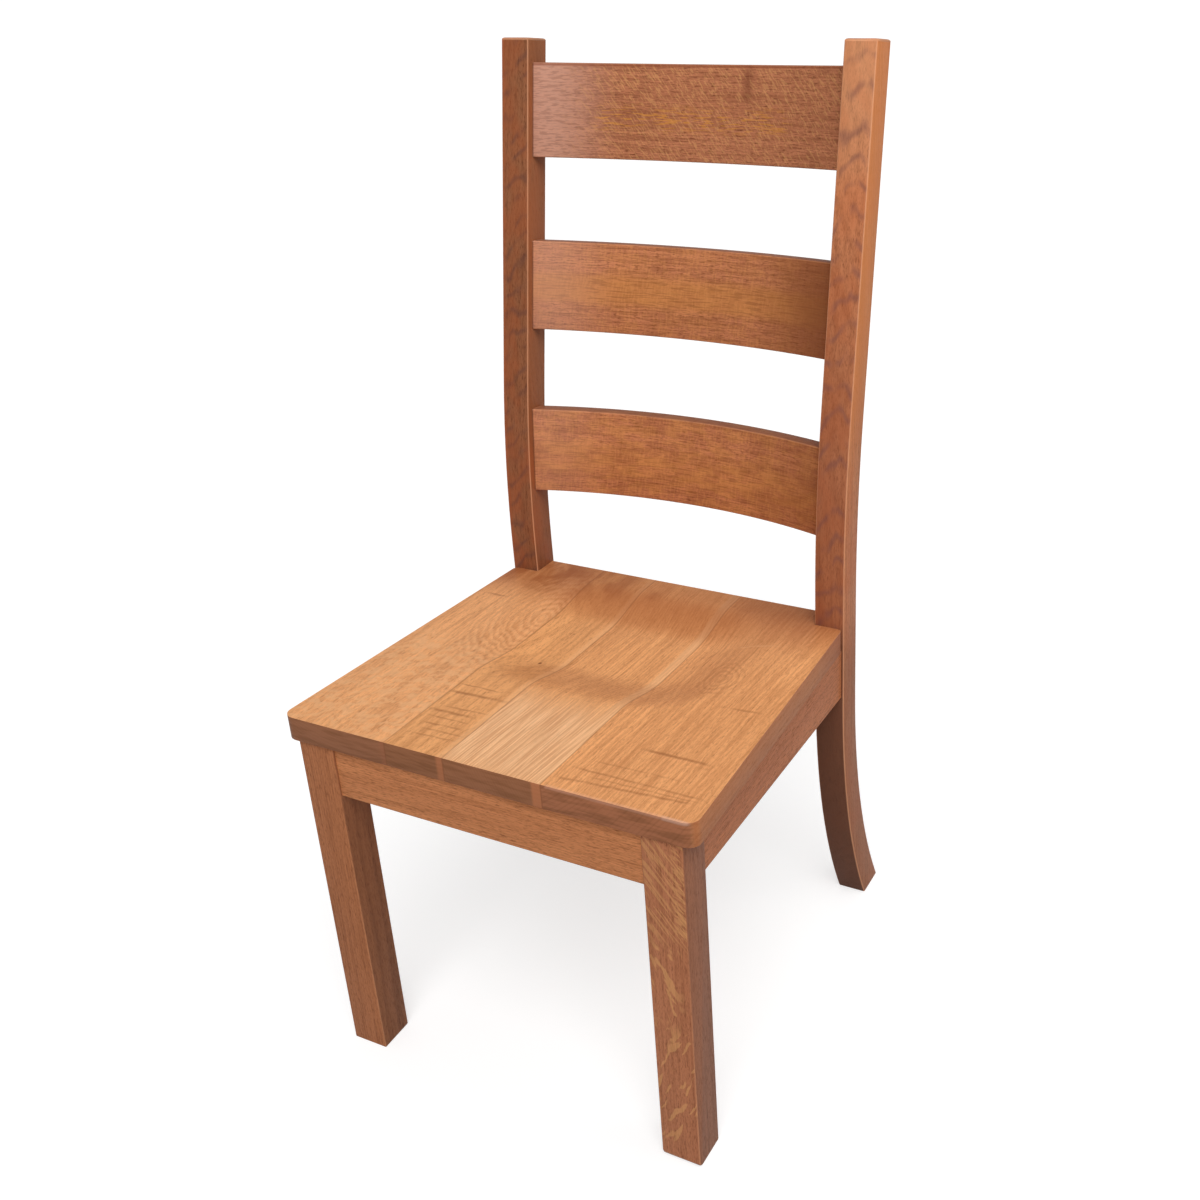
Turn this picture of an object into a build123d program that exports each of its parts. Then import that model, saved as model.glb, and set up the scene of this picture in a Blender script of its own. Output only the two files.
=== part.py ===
"""A ladder-back dining chair in oak with a dished plank seat.

Millimetres. +X is the sitter's left, seen from the front as right, +Y points to the back and +Z up.
The pieces are drawn with the front faces of the front legs at Y = 0 and are centred at the end, so
that the origin lies on the floor under the middle of the chair.
"""

import os
from math import asin, atan, cos, degrees, radians, sin, tan

from build123d import *

# Whole chair
CHAIR_HEIGHT = 1080.0  # floor to the front top corner of the back posts
SEAT_HEIGHT = 460.0  # floor to the seat's top above the front faces of the front legs
SEAT_SLOPE = 2.6  # degrees that the seat falls towards the back
FRONT_WIDTH = 468.0  # across the outer faces of the front legs
BACK_WIDTH = 454.0  # across the outer faces of the back posts
BASE_DEPTH = 433.0  # front faces of the front legs to the front faces of the back posts
EASED_EDGE = 1.6  # radius on the arrises of legs and posts

# Front legs
LEG_SIDE = 46.0

# Back posts: a sabre leg, a plumb stretch beside the seat frame and a raked upright
POST_THICKNESS = 36.0  # along X
POST_DEPTH = 40.0  # square to the post's curve
POST_RAKE = 10.0  # degrees from plumb
SABRE_RADIUS = 730.0  # centreline of the bend below the seat frame
RAKE_RADIUS = 1250.0  # centreline of the bend above the seat
SABRE_DROP = 11.5  # side apron's lower edge down to the sabre bend
RAKE_RISE = 30.0  # seat's top up to the rake bend

# Back slats
SLAT_HEIGHT = 105.0
SLAT_THICKNESS = 20.0
SLAT_BEVEL = 1.8  # on the long arrises
SLAT_BOW = 35.0  # how far the middle of a slat stands behind its ends
TOP_SLAT_MARGIN = 26.0  # top slat's upper edge below the top of the posts
LOW_SLAT_GAP = 110.0  # seat's top at the posts to the lowest slat's lower edge
MIDDLE_SLAT_LIFT = 2.0  # middle slat above halfway between the others
TENON_LENGTH = 20.0
TENON_SHOULDER = 4.0  # front and back of the tenon
TENON_END_SHOULDER = 9.0  # above and below the tenon
TENON_CLEARANCE = 0.15

# Seat
SEAT_THICKNESS = 29.0
SEAT_FRONT_OVERHANG = 3.0
SEAT_SIDE_OVERHANG_FRONT = 16.0
SEAT_SIDE_INSET_BACK = 2.0  # back corners inside the outer faces of the posts
SEAT_TONGUE = 36.0  # how far the seat reaches back between the posts
SEAT_FRONT_CORNER_RADIUS = 15.0
SEAT_BACK_CORNER_RADIUS = 6.0
SEAT_TOP_ROUNDING = 5.0
SEAT_BOTTOM_ROUNDING = 3.0
SEAT_POST_CLEARANCE = 0.3
SEAT_SEAMS = (-112.0, -38.0, 80.0)  # X of the glue lines between the boards
DISH_WIDTH = 337.0
DISH_LENGTH = 282.0  # front to back
DISH_CORNER_RADIUS = 105.0
DISH_FLAT = 12.0  # flat bottom within the corner radius
DISH_DEPTH = 14.0
DISH_LIP_SHARE = 0.45  # of the wall's two radii, the share of the lip's
DISH_LIP_ANGLE = 1.5  # degrees at which the lip runs out into the seat's top
DISH_RUN_OUT = 8.0
DISH_BACK_LAND = 28.0  # dish to the back edge of the seat

# Aprons
APRON_HEIGHT = 64.5
APRON_THICKNESS = 22.0
APRON_INSET = 3.0  # outer faces behind the faces of the legs and posts
APRON_EASED_EDGE = 2.0

# Dowels, two in each apron end
DOWEL_DIAMETER = 9.5
DOWEL_DEPTH = 22.0  # into each of the two pieces
DOWEL_PITCH = 24.0
DOWEL_STAGGER = 6.0  # side aprons' dowels lower and the others higher, so that they pass in the posts
DOWEL_CHAMFER = 1.0
DOWEL_CLEARANCE = 0.05
HOLE_END_SPACE = 0.5  # past the ends of dowels and screws

# Corner blocks
BLOCK_HEIGHT = 28.0
BLOCK_REACH = 62.0  # face that is glued to each apron
BLOCK_LEG_SPACE = 8.0  # block to the leg or post in its corner

# Screws
SCREW_DIAMETER = 4.5
SCREW_HEAD_DIAMETER = 9.0
SCREW_HEAD_HEIGHT = 3.5
SCREW_TIP = 5.0
SCREW_DRIVE = 3.4  # width of the square recess
SCREW_DRIVE_DEPTH = 2.2
SCREW_CLEARANCE = 0.05
BLOCK_SCREW_GRIP = 13.0  # block under the head of a screw into an apron
BLOCK_SCREW_BITE = 15.0  # into the apron
SEAT_SCREW_GRIP = 20.0  # block under the head of a screw into the seat
SEAT_SCREW_BITE = 12.0  # into the seat
COUNTERBORE_CLEARANCE = 0.5
COUNTERBORE_RUN = 40.0  # from under the head out past the block
BLOCK_SCREW_SHARE = 0.65  # along the glued face, from its end at the leg or post
SCREW_POINT = 0.8  # diameter of the blunt point

# Far enough to pass any face of the chair
BEYOND = 2000.0

# Worked out from the driving dimensions
SLOPE = tan(radians(SEAT_SLOPE))
RAKE = radians(POST_RAKE)
SEAT_UNDERSIDE = SEAT_HEIGHT - SEAT_THICKNESS / cos(radians(SEAT_SLOPE))
APRON_BOTTOM = SEAT_UNDERSIDE - APRON_HEIGHT
LEG_INNER = FRONT_WIDTH / 2 - LEG_SIDE
POST_INNER = BACK_WIDTH / 2 - POST_THICKNESS
POST_MIDDLE = BASE_DEPTH + POST_DEPTH / 2
SABRE_START = APRON_BOTTOM - SLOPE * BASE_DEPTH - SABRE_DROP
RAKE_START = SEAT_HEIGHT - SLOPE * BASE_DEPTH + RAKE_RISE
RAKE_END = RAKE_START + (RAKE_RADIUS + POST_DEPTH / 2) * sin(RAKE)
SEAT_BACK = BASE_DEPTH + SEAT_TONGUE
SLAT_RADIUS = (POST_INNER**2 + SLAT_BOW**2) / (2 * SLAT_BOW)


def sloping(height):
    """A plane parallel to the seat that crosses the front leg faces at a height."""
    angle = radians(SEAT_SLOPE)
    return Plane(origin=(0, 0, height), x_dir=(1, 0, 0), z_dir=(0, sin(angle), cos(angle)))


def below(solid, height):
    """The part of a solid below the sloping plane at a height."""
    return split(solid, bisect_by=sloping(height), keep=Keep.BOTTOM)


def above(solid, height):
    """The part of a solid above the sloping plane at a height."""
    return split(solid, bisect_by=sloping(height), keep=Keep.TOP)


def upright(outline, low, high):
    """A plan outline as an upright solid between two sloping planes."""
    column = extrude(make_face(Polyline(*outline, close=True)), amount=BEYOND)
    return above(below(column, high), low)


def other_side(part):
    """The mirror image of a piece on the other side of the chair."""
    return mirror(part, about=Plane.YZ)


def post_front(height):
    """The Y of the posts' front face and the lean of the post, in radians, above the rake bend's start."""
    radius = RAKE_RADIUS + POST_DEPTH / 2
    centre = BASE_DEPTH + radius
    if height >= RAKE_END:
        return centre - radius * cos(RAKE) + (height - RAKE_END) * tan(RAKE), RAKE
    lean = asin((height - RAKE_START) / radius)
    return centre - radius * cos(lean), lean


def post_edge(offset):
    """The edges of one face of a post from foot to top, with the offset from the post's centreline."""
    sabre = SABRE_RADIUS - offset
    rake = RAKE_RADIUS - offset
    sabre_turn = degrees(asin(SABRE_START / sabre))
    foot_bend = CenterArc((POST_MIDDLE + SABRE_RADIUS, SABRE_START), sabre, 180 + sabre_turn, -sabre_turn)
    rake_bend = CenterArc((POST_MIDDLE + RAKE_RADIUS, RAKE_START), rake, 180, -POST_RAKE)
    plumb = Line(foot_bend @ 1, rake_bend @ 0)
    across = Vector(cos(RAKE), -sin(RAKE)) * (offset + POST_DEPTH / 2)
    front_top = Vector(post_front(CHAIR_HEIGHT)[0], CHAIR_HEIGHT)
    upper = Line(rake_bend @ 1, front_top + across)
    return [foot_bend, plumb, rake_bend, upper]


def back_post():
    """The right-hand post, with its arrises eased, before its mortises and holes are cut."""
    front = post_edge(-POST_DEPTH / 2)
    rear = post_edge(POST_DEPTH / 2)
    top = Line(front[-1] @ 1, rear[-1] @ 1)
    foot = Line(front[0] @ 0, rear[0] @ 0)
    profile = make_face([*front, top, *rear, foot])
    post = Pos(POST_INNER, 0, 0) * extrude(Plane.YZ * profile, amount=POST_THICKNESS)
    sides = post.faces().filter_by(Axis.X)
    ends = post.faces().sort_by(Axis.Z)
    arrises = {edge for face in [*sides, ends[0], ends[-1]] for edge in face.edges()}
    return fillet(arrises, EASED_EDGE)


def front_leg():
    """The right-hand front leg, cut to the seat's slope on top."""
    leg = Pos(LEG_INNER, 0, 0) * Box(LEG_SIDE, LEG_SIDE, SEAT_HEIGHT, align=Align.MIN)
    leg = below(leg, SEAT_UNDERSIDE)
    arrises = leg.edges().filter_by(Axis.Z) + leg.faces().sort_by(Axis.Z)[0].edges()
    return fillet(arrises, EASED_EDGE)


def eased_below(apron):
    """An apron with the two long arrises of its lower edge eased."""
    lower = apron.faces().sort_by(Axis.Z)[0]
    return fillet(lower.edges().sort_by(SortBy.LENGTH)[-2:], APRON_EASED_EDGE)


def front_apron():
    """The apron between the front legs."""
    front, back = APRON_INSET, APRON_INSET + APRON_THICKNESS
    outline = [(-LEG_INNER, front), (LEG_INNER, front), (LEG_INNER, back), (-LEG_INNER, back)]
    return eased_below(upright(outline, APRON_BOTTOM, SEAT_UNDERSIDE))


def back_apron():
    """The apron between the back posts, in the middle of their depth."""
    front, back = POST_MIDDLE - APRON_THICKNESS / 2, POST_MIDDLE + APRON_THICKNESS / 2
    outline = [(-POST_INNER, front), (POST_INNER, front), (POST_INNER, back), (-POST_INNER, back)]
    return eased_below(upright(outline, APRON_BOTTOM, SEAT_UNDERSIDE))


def side_apron_outer(y):
    """The X of the right side apron's outer face at a depth."""
    share = (y - LEG_SIDE) / (BASE_DEPTH - LEG_SIDE)
    return FRONT_WIDTH / 2 - APRON_INSET + share * (BACK_WIDTH - FRONT_WIDTH) / 2


def side_apron_inner(y):
    """The X of the right side apron's inner face at a depth."""
    return side_apron_outer(y) - APRON_THICKNESS


def side_apron():
    """The right side apron, between the leg's back face and the post's front face."""
    outline = [
        (side_apron_outer(LEG_SIDE), LEG_SIDE),
        (side_apron_outer(BASE_DEPTH), BASE_DEPTH),
        (side_apron_inner(BASE_DEPTH), BASE_DEPTH),
        (side_apron_inner(LEG_SIDE), LEG_SIDE),
    ]
    return eased_below(upright(outline, APRON_BOTTOM, SEAT_UNDERSIDE))


def slat_heights():
    """The heights of the slats' middles at the posts' front faces, lowest first."""
    low = SEAT_HEIGHT - SLOPE * BASE_DEPTH + LOW_SLAT_GAP + SLAT_HEIGHT / 2
    high = CHAIR_HEIGHT - TOP_SLAT_MARGIN - SLAT_HEIGHT / 2 * cos(RAKE)
    return [low, (low + high) / 2 + MIDDLE_SLAT_LIFT, high]


def slat_place(height):
    """A plane on the posts' front faces at a height, with its Z up along the posts and its Y to the back."""
    y, lean = post_front(height)
    return Plane(origin=(0, y, height), x_dir=(1, 0, 0), z_dir=(0, sin(lean), cos(lean)))


def bowed_strip(half_length, front, thickness, height, bevel=0):
    """A strip on the slats' bow, with its front face at a depth behind that of the slats.

    The long arrises are bevelled, if asked, before the strip is cut to length.
    """
    inner = SLAT_RADIUS + front
    ring = Cylinder(inner + thickness, height) - Cylinder(inner, height)
    if bevel:
        ring = chamfer(ring.edges().filter_by(GeomType.CIRCLE), bevel)
    centre = (POST_DEPTH - SLAT_THICKNESS) / 2 + SLAT_BOW - SLAT_RADIUS
    window = Box(2 * half_length, 2 * BEYOND, height, align=(Align.CENTER, Align.MIN, Align.CENTER))
    return Pos(0, centre, 0) * (ring & window)


def back_slat(height):
    """A bent slat between the posts, with a tenon on each end."""
    body = bowed_strip(POST_INNER, 0, SLAT_THICKNESS, SLAT_HEIGHT, SLAT_BEVEL)
    tenons = bowed_strip(
        POST_INNER + TENON_LENGTH,
        TENON_SHOULDER,
        SLAT_THICKNESS - 2 * TENON_SHOULDER,
        SLAT_HEIGHT - 2 * TENON_END_SHOULDER,
    )
    return slat_place(height) * (body + tenons)


def slat_mortises(height):
    """The room that a slat's tenons need in the posts."""
    return slat_place(height) * bowed_strip(
        POST_INNER + TENON_LENGTH + HOLE_END_SPACE,
        TENON_SHOULDER - TENON_CLEARANCE,
        SLAT_THICKNESS - 2 * TENON_SHOULDER + 2 * TENON_CLEARANCE,
        SLAT_HEIGHT - 2 * TENON_END_SHOULDER + 2 * TENON_CLEARANCE,
    )


def dish_wall():
    """The section of the dish from its flat bottom, at X = 0, up its curved wall and out past its lip."""
    width = DISH_CORNER_RADIUS - DISH_FLAT
    wall = 2 * atan(DISH_DEPTH / width)
    lip_radius = DISH_LIP_SHARE * width / sin(wall)
    hollow_radius = width / sin(wall) - lip_radius
    hollow = CenterArc((DISH_FLAT, hollow_radius - DISH_DEPTH), hollow_radius, -90, degrees(wall))
    lip_turn = DISH_LIP_ANGLE - degrees(wall)
    lip = CenterArc((DISH_CORNER_RADIUS, -lip_radius), lip_radius, 90 + degrees(wall), lip_turn)
    run_out = Line(lip @ 1, (lip @ 1) + Vector(1, tan(radians(DISH_LIP_ANGLE))) * DISH_RUN_OUT)
    end = run_out @ 1
    rest = Polyline(end, (end.X, DISH_DEPTH), (0, DISH_DEPTH), (0, -DISH_DEPTH), hollow @ 0)
    return Plane.XZ * make_face([hollow, lip, run_out, rest])


def dish():
    """The hollow that is cut from the seat: a rounded rectangle with a flat bottom and curved walls."""
    across = DISH_WIDTH / 2 - DISH_CORNER_RADIUS
    along = DISH_LENGTH / 2 - DISH_CORNER_RADIUS
    corner = revolve(dish_wall(), axis=Axis.Z, revolution_arc=90)
    hollow = Box(2 * across, 2 * along, 2 * DISH_DEPTH)
    for turn, right, back in ((0, across, along), (180, -across, -along)):
        hollow += Pos(right, back, 0) * Rot(0, 0, turn) * corner
        hollow += Pos(-right, back, 0) * Rot(0, 0, 90 + turn) * corner
        hollow += Pos(right, back, 0) * Rot(0, 0, turn) * extrude(dish_wall(), amount=2 * along)
        hollow += Pos(-right, back, 0) * Rot(0, 0, 90 + turn) * extrude(dish_wall(), amount=2 * across)
    centre = SEAT_BACK - DISH_BACK_LAND - DISH_LENGTH / 2
    return sloping(SEAT_HEIGHT) * Pos(0, centre / cos(radians(SEAT_SLOPE)), 0) * hollow


def whole_seat():
    """The seat before it is parted into boards: a rounded plate in front of the posts and a tongue between."""
    front = -SEAT_FRONT_OVERHANG
    back = BASE_DEPTH - SEAT_POST_CLEARANCE
    wide = FRONT_WIDTH / 2 + SEAT_SIDE_OVERHANG_FRONT
    narrow = BACK_WIDTH / 2 - SEAT_SIDE_INSET_BACK
    outline = make_face(Polyline((-wide, front), (wide, front), (narrow, back), (-narrow, back), close=True))
    outline = fillet(outline.vertices().sort_by(Axis.Y)[:2], SEAT_FRONT_CORNER_RADIUS)
    outline = fillet(outline.vertices().sort_by(Axis.Y)[-2:], SEAT_BACK_CORNER_RADIUS)
    plate = above(below(extrude(outline, amount=BEYOND), SEAT_HEIGHT), SEAT_UNDERSIDE)
    plate = fillet(plate.faces().sort_by(Axis.Z)[-1].edges(), SEAT_TOP_ROUNDING)
    plate = fillet(plate.faces().sort_by(Axis.Z)[0].edges(), SEAT_BOTTOM_ROUNDING)
    side = POST_INNER - SEAT_POST_CLEARANCE
    start = BASE_DEPTH - SEAT_TONGUE
    tongue_outline = [(-side, start), (side, start), (side, SEAT_BACK), (-side, SEAT_BACK)]
    tongue = upright(tongue_outline, SEAT_UNDERSIDE, SEAT_HEIGHT)
    back_edges = tongue.faces().sort_by(Axis.Y)[-1].edges().filter_by(Axis.X).sort_by(Axis.Z)
    tongue = fillet(back_edges[-1:], SEAT_TOP_ROUNDING)
    return plate + tongue - dish()


def seat_boards(seat):
    """The boards of the seat from left to right, parted at the glue lines."""
    boards = []
    for seam in SEAT_SEAMS:
        glue_line = Plane.YZ.offset(seam)
        boards.append(split(seat, bisect_by=glue_line, keep=Keep.BOTTOM))
        seat = split(seat, bisect_by=glue_line, keep=Keep.TOP)
    return [*boards, seat]


def apron_middle(y):
    """The height of the aprons' middle at a depth."""
    return APRON_BOTTOM + APRON_HEIGHT / 2 - SLOPE * y


def dowel_places():
    """Where the dowels sit on the right-hand side, each with its length along its own Z."""
    front_y = APRON_INSET + APRON_THICKNESS / 2
    front_x = side_apron_outer(LEG_SIDE) - APRON_THICKNESS / 2
    back_x = side_apron_outer(BASE_DEPTH) - APRON_THICKNESS / 2
    ends = [
        (LEG_INNER, front_y, DOWEL_STAGGER, (0, 90, 0)),
        (POST_INNER, POST_MIDDLE, DOWEL_STAGGER, (0, 90, 0)),
        (front_x, LEG_SIDE, -DOWEL_STAGGER, (90, 0, 0)),
        (back_x, BASE_DEPTH, -DOWEL_STAGGER, (90, 0, 0)),
    ]
    return [
        Pos(x, y, apron_middle(y) + stagger + rise) * Rot(*turn)
        for x, y, stagger, turn in ends
        for rise in (-DOWEL_PITCH / 2, DOWEL_PITCH / 2)
    ]


def dowel():
    """One dowel with chamfered ends."""
    pin = Cylinder(DOWEL_DIAMETER / 2, 2 * DOWEL_DEPTH)
    return chamfer(pin.edges().filter_by(GeomType.CIRCLE), DOWEL_CHAMFER)


def dowel_hole():
    """The room that one dowel needs in the two pieces it joins."""
    return Cylinder(DOWEL_DIAMETER / 2 + DOWEL_CLEARANCE, 2 * (DOWEL_DEPTH + HOLE_END_SPACE))


def corner_block(corner_x, corner_y, apron_y, inward):
    """A right-hand corner block and the places of its three screws.

    The corner of the leg or post stands at corner_x and corner_y, the front or back apron's inner face
    at apron_y, and inward is 1 for a front corner and -1 for a rear one.
    """
    near_x = corner_x - BLOCK_LEG_SPACE
    near_y = corner_y + inward * BLOCK_LEG_SPACE
    far_y = near_y + inward * BLOCK_REACH
    outline = [
        (near_x - BLOCK_REACH, apron_y),
        (near_x, apron_y),
        (near_x, near_y),
        (side_apron_inner(near_y), near_y),
        (side_apron_inner(far_y), far_y),
    ]
    block = upright(outline, SEAT_UNDERSIDE - BLOCK_HEIGHT, SEAT_UNDERSIDE)
    middle = SEAT_UNDERSIDE - BLOCK_HEIGHT / 2
    across_x = near_x - BLOCK_SCREW_SHARE * BLOCK_REACH
    across_y = apron_y + inward * BLOCK_SCREW_GRIP
    side_y = near_y + inward * BLOCK_SCREW_SHARE * BLOCK_REACH
    side_x = side_apron_inner(side_y) - BLOCK_SCREW_GRIP
    seat_y = near_y + inward * BLOCK_LEG_SPACE
    into_aprons = [
        Pos(across_x, across_y, middle - SLOPE * apron_y) * Rot(inward * 90, 0, 0),
        Pos(side_x, side_y, middle - SLOPE * side_y) * Rot(0, 90, 0),
    ]
    into_seat = Pos(near_x - BLOCK_LEG_SPACE, seat_y, SEAT_UNDERSIDE - SLOPE * seat_y - SEAT_SCREW_GRIP)
    return block, into_aprons, into_seat


def screw(length):
    """A screw along Z with the underside of its head at Z = 0 and a square recess in the head."""
    head = Cylinder(SCREW_HEAD_DIAMETER / 2, SCREW_HEAD_HEIGHT, align=(Align.CENTER, Align.CENTER, Align.MAX))
    shank_end = length - SCREW_TIP
    upward = (Align.CENTER, Align.CENTER, Align.MIN)
    shank = Cylinder(SCREW_DIAMETER / 2, shank_end, align=upward)
    tip = Pos(0, 0, shank_end) * Cone(SCREW_DIAMETER / 2, SCREW_POINT / 2, SCREW_TIP, align=upward)
    drive = Pos(0, 0, -SCREW_HEAD_HEIGHT) * Box(SCREW_DRIVE, SCREW_DRIVE, SCREW_DRIVE_DEPTH, align=upward)
    return head + shank + tip - drive


def screw_hole(length):
    """The room that a screw needs, with a counterbore that runs out behind its head."""
    upward = (Align.CENTER, Align.CENTER, Align.MIN)
    bore = Cylinder(SCREW_DIAMETER / 2 + SCREW_CLEARANCE, length + HOLE_END_SPACE, align=upward)
    head_room = Cylinder(
        SCREW_HEAD_DIAMETER / 2 + COUNTERBORE_CLEARANCE,
        COUNTERBORE_RUN,
        align=(Align.CENTER, Align.CENTER, Align.MAX),
    )
    return bore + head_room


def chair():
    """All the pieces of the chair by name."""
    rear_face = POST_MIDDLE - APRON_THICKNESS / 2
    front_face = APRON_INSET + APRON_THICKNESS
    front_block, front_apron_screws, front_seat_screw = corner_block(LEG_INNER, LEG_SIDE, front_face, 1)
    rear_block, rear_apron_screws, rear_seat_screw = corner_block(POST_INNER, BASE_DEPTH, rear_face, -1)
    apron_screw_places = front_apron_screws + rear_apron_screws
    seat_screw_places = [front_seat_screw, rear_seat_screw]
    apron_screw_length = BLOCK_SCREW_GRIP + BLOCK_SCREW_BITE
    seat_screw_length = SEAT_SCREW_GRIP + SEAT_SCREW_BITE

    dowel_holes = [place * dowel_hole() for place in dowel_places()]
    screw_holes = [place * screw_hole(apron_screw_length) for place in apron_screw_places]
    screw_holes += [place * screw_hole(seat_screw_length) for place in seat_screw_places]
    both_holes = dowel_holes + screw_holes
    both_holes += [other_side(hole) for hole in both_holes]

    low, middle, high = slat_heights()
    mortises = [slat_mortises(height) for height in (low, middle, high)]

    post = back_post() - mortises - dowel_holes
    leg = front_leg() - dowel_holes
    side = side_apron() - dowel_holes - screw_holes
    front_block = front_block - screw_holes
    rear_block = rear_block - screw_holes
    boards = seat_boards(whole_seat() - both_holes)
    dowels = [place * dowel() for place in dowel_places()]
    apron_screws = [place * screw(apron_screw_length) for place in apron_screw_places]
    seat_screws = [place * screw(seat_screw_length) for place in seat_screw_places]

    pieces = {
        "back_post_right": post,
        "back_post_left": other_side(post),
        "front_leg_right": leg,
        "front_leg_left": other_side(leg),
        "front_apron": front_apron() - both_holes,
        "back_apron": back_apron() - both_holes,
        "side_apron_right": side,
        "side_apron_left": other_side(side),
        "top_slat": back_slat(high),
        "middle_slat": back_slat(middle),
        "lower_slat": back_slat(low),
        "corner_block_front_right": front_block,
        "corner_block_front_left": other_side(front_block),
        "corner_block_rear_right": rear_block,
        "corner_block_rear_left": other_side(rear_block),
        "apron_dowels": both_sides(dowels),
        "corner_block_screws": both_sides(apron_screws),
        "seat_screws": both_sides(seat_screws),
    }
    for number, board in enumerate(boards, 1):
        pieces[f"seat_board_{number}"] = board
    return pieces


def both_sides(parts):
    """Several small pieces and their mirror images as one group."""
    both = [*parts, *(other_side(part) for part in parts)]
    return Compound([solid for part in both for solid in part.solids()])


def main():
    """Centre the pieces on the floor and write one file for each."""
    os.makedirs("parts", exist_ok=True)
    pieces = chair()
    boxes = [piece.bounding_box() for piece in pieces.values()]
    front = min(box.min.Y for box in boxes)
    back = max(box.max.Y for box in boxes)
    centring = Pos(0, -(front + back) / 2, 0)
    for name, piece in pieces.items():
        export_step(centring * piece, f"parts/{name}.step")


main()
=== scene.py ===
"""A ladder-back dining chair in stained oak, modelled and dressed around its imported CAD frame.

Lengths are metres. Pieces are shaped in the drawing's own frame, where the front faces of the front
legs stand at Y = 0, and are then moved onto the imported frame.
"""

import logging
import math
from dataclasses import dataclass
from enum import Enum
from functools import reduce
from operator import mul
from typing import Callable, Sequence

import bmesh
import bpy
from mathutils import Matrix, Vector


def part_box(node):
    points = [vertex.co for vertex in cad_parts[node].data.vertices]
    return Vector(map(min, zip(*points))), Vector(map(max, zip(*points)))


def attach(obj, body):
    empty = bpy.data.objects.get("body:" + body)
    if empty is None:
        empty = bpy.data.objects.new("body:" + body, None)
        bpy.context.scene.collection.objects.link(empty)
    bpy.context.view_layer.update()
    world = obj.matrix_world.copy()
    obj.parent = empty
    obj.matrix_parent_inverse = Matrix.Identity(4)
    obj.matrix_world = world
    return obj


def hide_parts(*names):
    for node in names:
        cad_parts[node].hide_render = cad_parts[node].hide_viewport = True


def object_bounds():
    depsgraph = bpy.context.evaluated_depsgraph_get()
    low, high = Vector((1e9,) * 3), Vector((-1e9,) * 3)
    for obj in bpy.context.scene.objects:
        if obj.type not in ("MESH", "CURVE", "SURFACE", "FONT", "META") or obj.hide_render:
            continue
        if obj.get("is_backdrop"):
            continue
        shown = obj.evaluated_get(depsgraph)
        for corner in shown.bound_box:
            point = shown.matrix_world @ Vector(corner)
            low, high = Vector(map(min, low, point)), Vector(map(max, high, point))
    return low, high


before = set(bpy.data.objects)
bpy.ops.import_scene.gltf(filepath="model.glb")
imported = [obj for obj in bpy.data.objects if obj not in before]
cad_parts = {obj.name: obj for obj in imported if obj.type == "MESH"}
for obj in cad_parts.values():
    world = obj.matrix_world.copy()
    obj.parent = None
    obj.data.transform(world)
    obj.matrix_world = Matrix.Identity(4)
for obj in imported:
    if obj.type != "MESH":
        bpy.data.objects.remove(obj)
CAD_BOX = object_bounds()

LOG = logging.getLogger("dining_chair")
BODY = "root"
NEAR = 1e-4
FACING = 0.9
SMOOTH_ANGLE = math.radians(38)
SHARP_ANGLE = math.radians(40)

Colour = tuple[float, float, float]
Span = tuple[float, float]
Number = "float | Value"


def shown(red: int, green: int, blue: int) -> Colour:
    """A colour written as it looks on a screen, from 0 to 255, as linear light.

    Args:
        red: Red on the screen.
        green: Green on the screen.
        blue: Blue on the screen.

    Returns:
        The three linear values.
    """

    def linear(level: int) -> float:
        """One screen level as linear light."""
        share = level / 255
        return share / 12.92 if share <= 0.04045 else ((share + 0.055) / 1.055) ** 2.4

    return linear(red), linear(green), linear(blue)


class Side(Enum):
    """The side of the chair, as seen from the front."""

    LEFT = -1
    RIGHT = 1

    @property
    def word(self) -> str:
        """The side's name as the CAD nodes write it."""
        return self.name.lower()


class Grain(Enum):
    """The direction in which the fibres of a piece run."""

    ACROSS = "x"
    BACK = "y"
    UP = "z"

    @property
    def axis(self) -> int:
        """The number of the direction's axis."""
        return "xyz".index(self.value)


class Part(Enum):
    """A part of a mesh that can be picked."""

    CORNER = "VERT"
    EDGE = "EDGE"
    FACE = "FACE"


@dataclass(frozen=True)
class ChairSizes:
    """Sizes that more than one piece needs, as drawn."""

    seat_height: float = 0.460
    seat_slope: float = math.radians(2.6)
    seat_thickness: float = 0.029
    chair_height: float = 1.080
    front_width: float = 0.468
    back_width: float = 0.454
    base_depth: float = 0.433
    leg_side: float = 0.046
    post_thickness: float = 0.036
    post_depth: float = 0.040
    apron_height: float = 0.0645
    apron_thickness: float = 0.022
    apron_inset: float = 0.003

    @property
    def fall(self) -> float:
        """How much the seat falls for each metre towards the back."""
        return math.tan(self.seat_slope)

    @property
    def underside(self) -> float:
        """Height of the seat's underside above the front leg faces."""
        return self.seat_height - self.seat_thickness / math.cos(self.seat_slope)

    @property
    def apron_bottom(self) -> float:
        """Height of the aprons' lower edge above the front leg faces."""
        return self.underside - self.apron_height

    @property
    def leg_inner(self) -> float:
        """Distance of the front legs' inner faces from the middle."""
        return self.front_width / 2 - self.leg_side

    @property
    def post_inner(self) -> float:
        """Distance of the back posts' inner faces from the middle."""
        return self.back_width / 2 - self.post_thickness

    @property
    def post_middle(self) -> float:
        """Depth of the posts' centreline beside the seat."""
        return self.base_depth + self.post_depth / 2

    @property
    def onto_frame(self) -> float:
        """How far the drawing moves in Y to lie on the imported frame."""
        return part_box("front_leg_right")[0].y


SIZES = ChairSizes()


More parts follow.
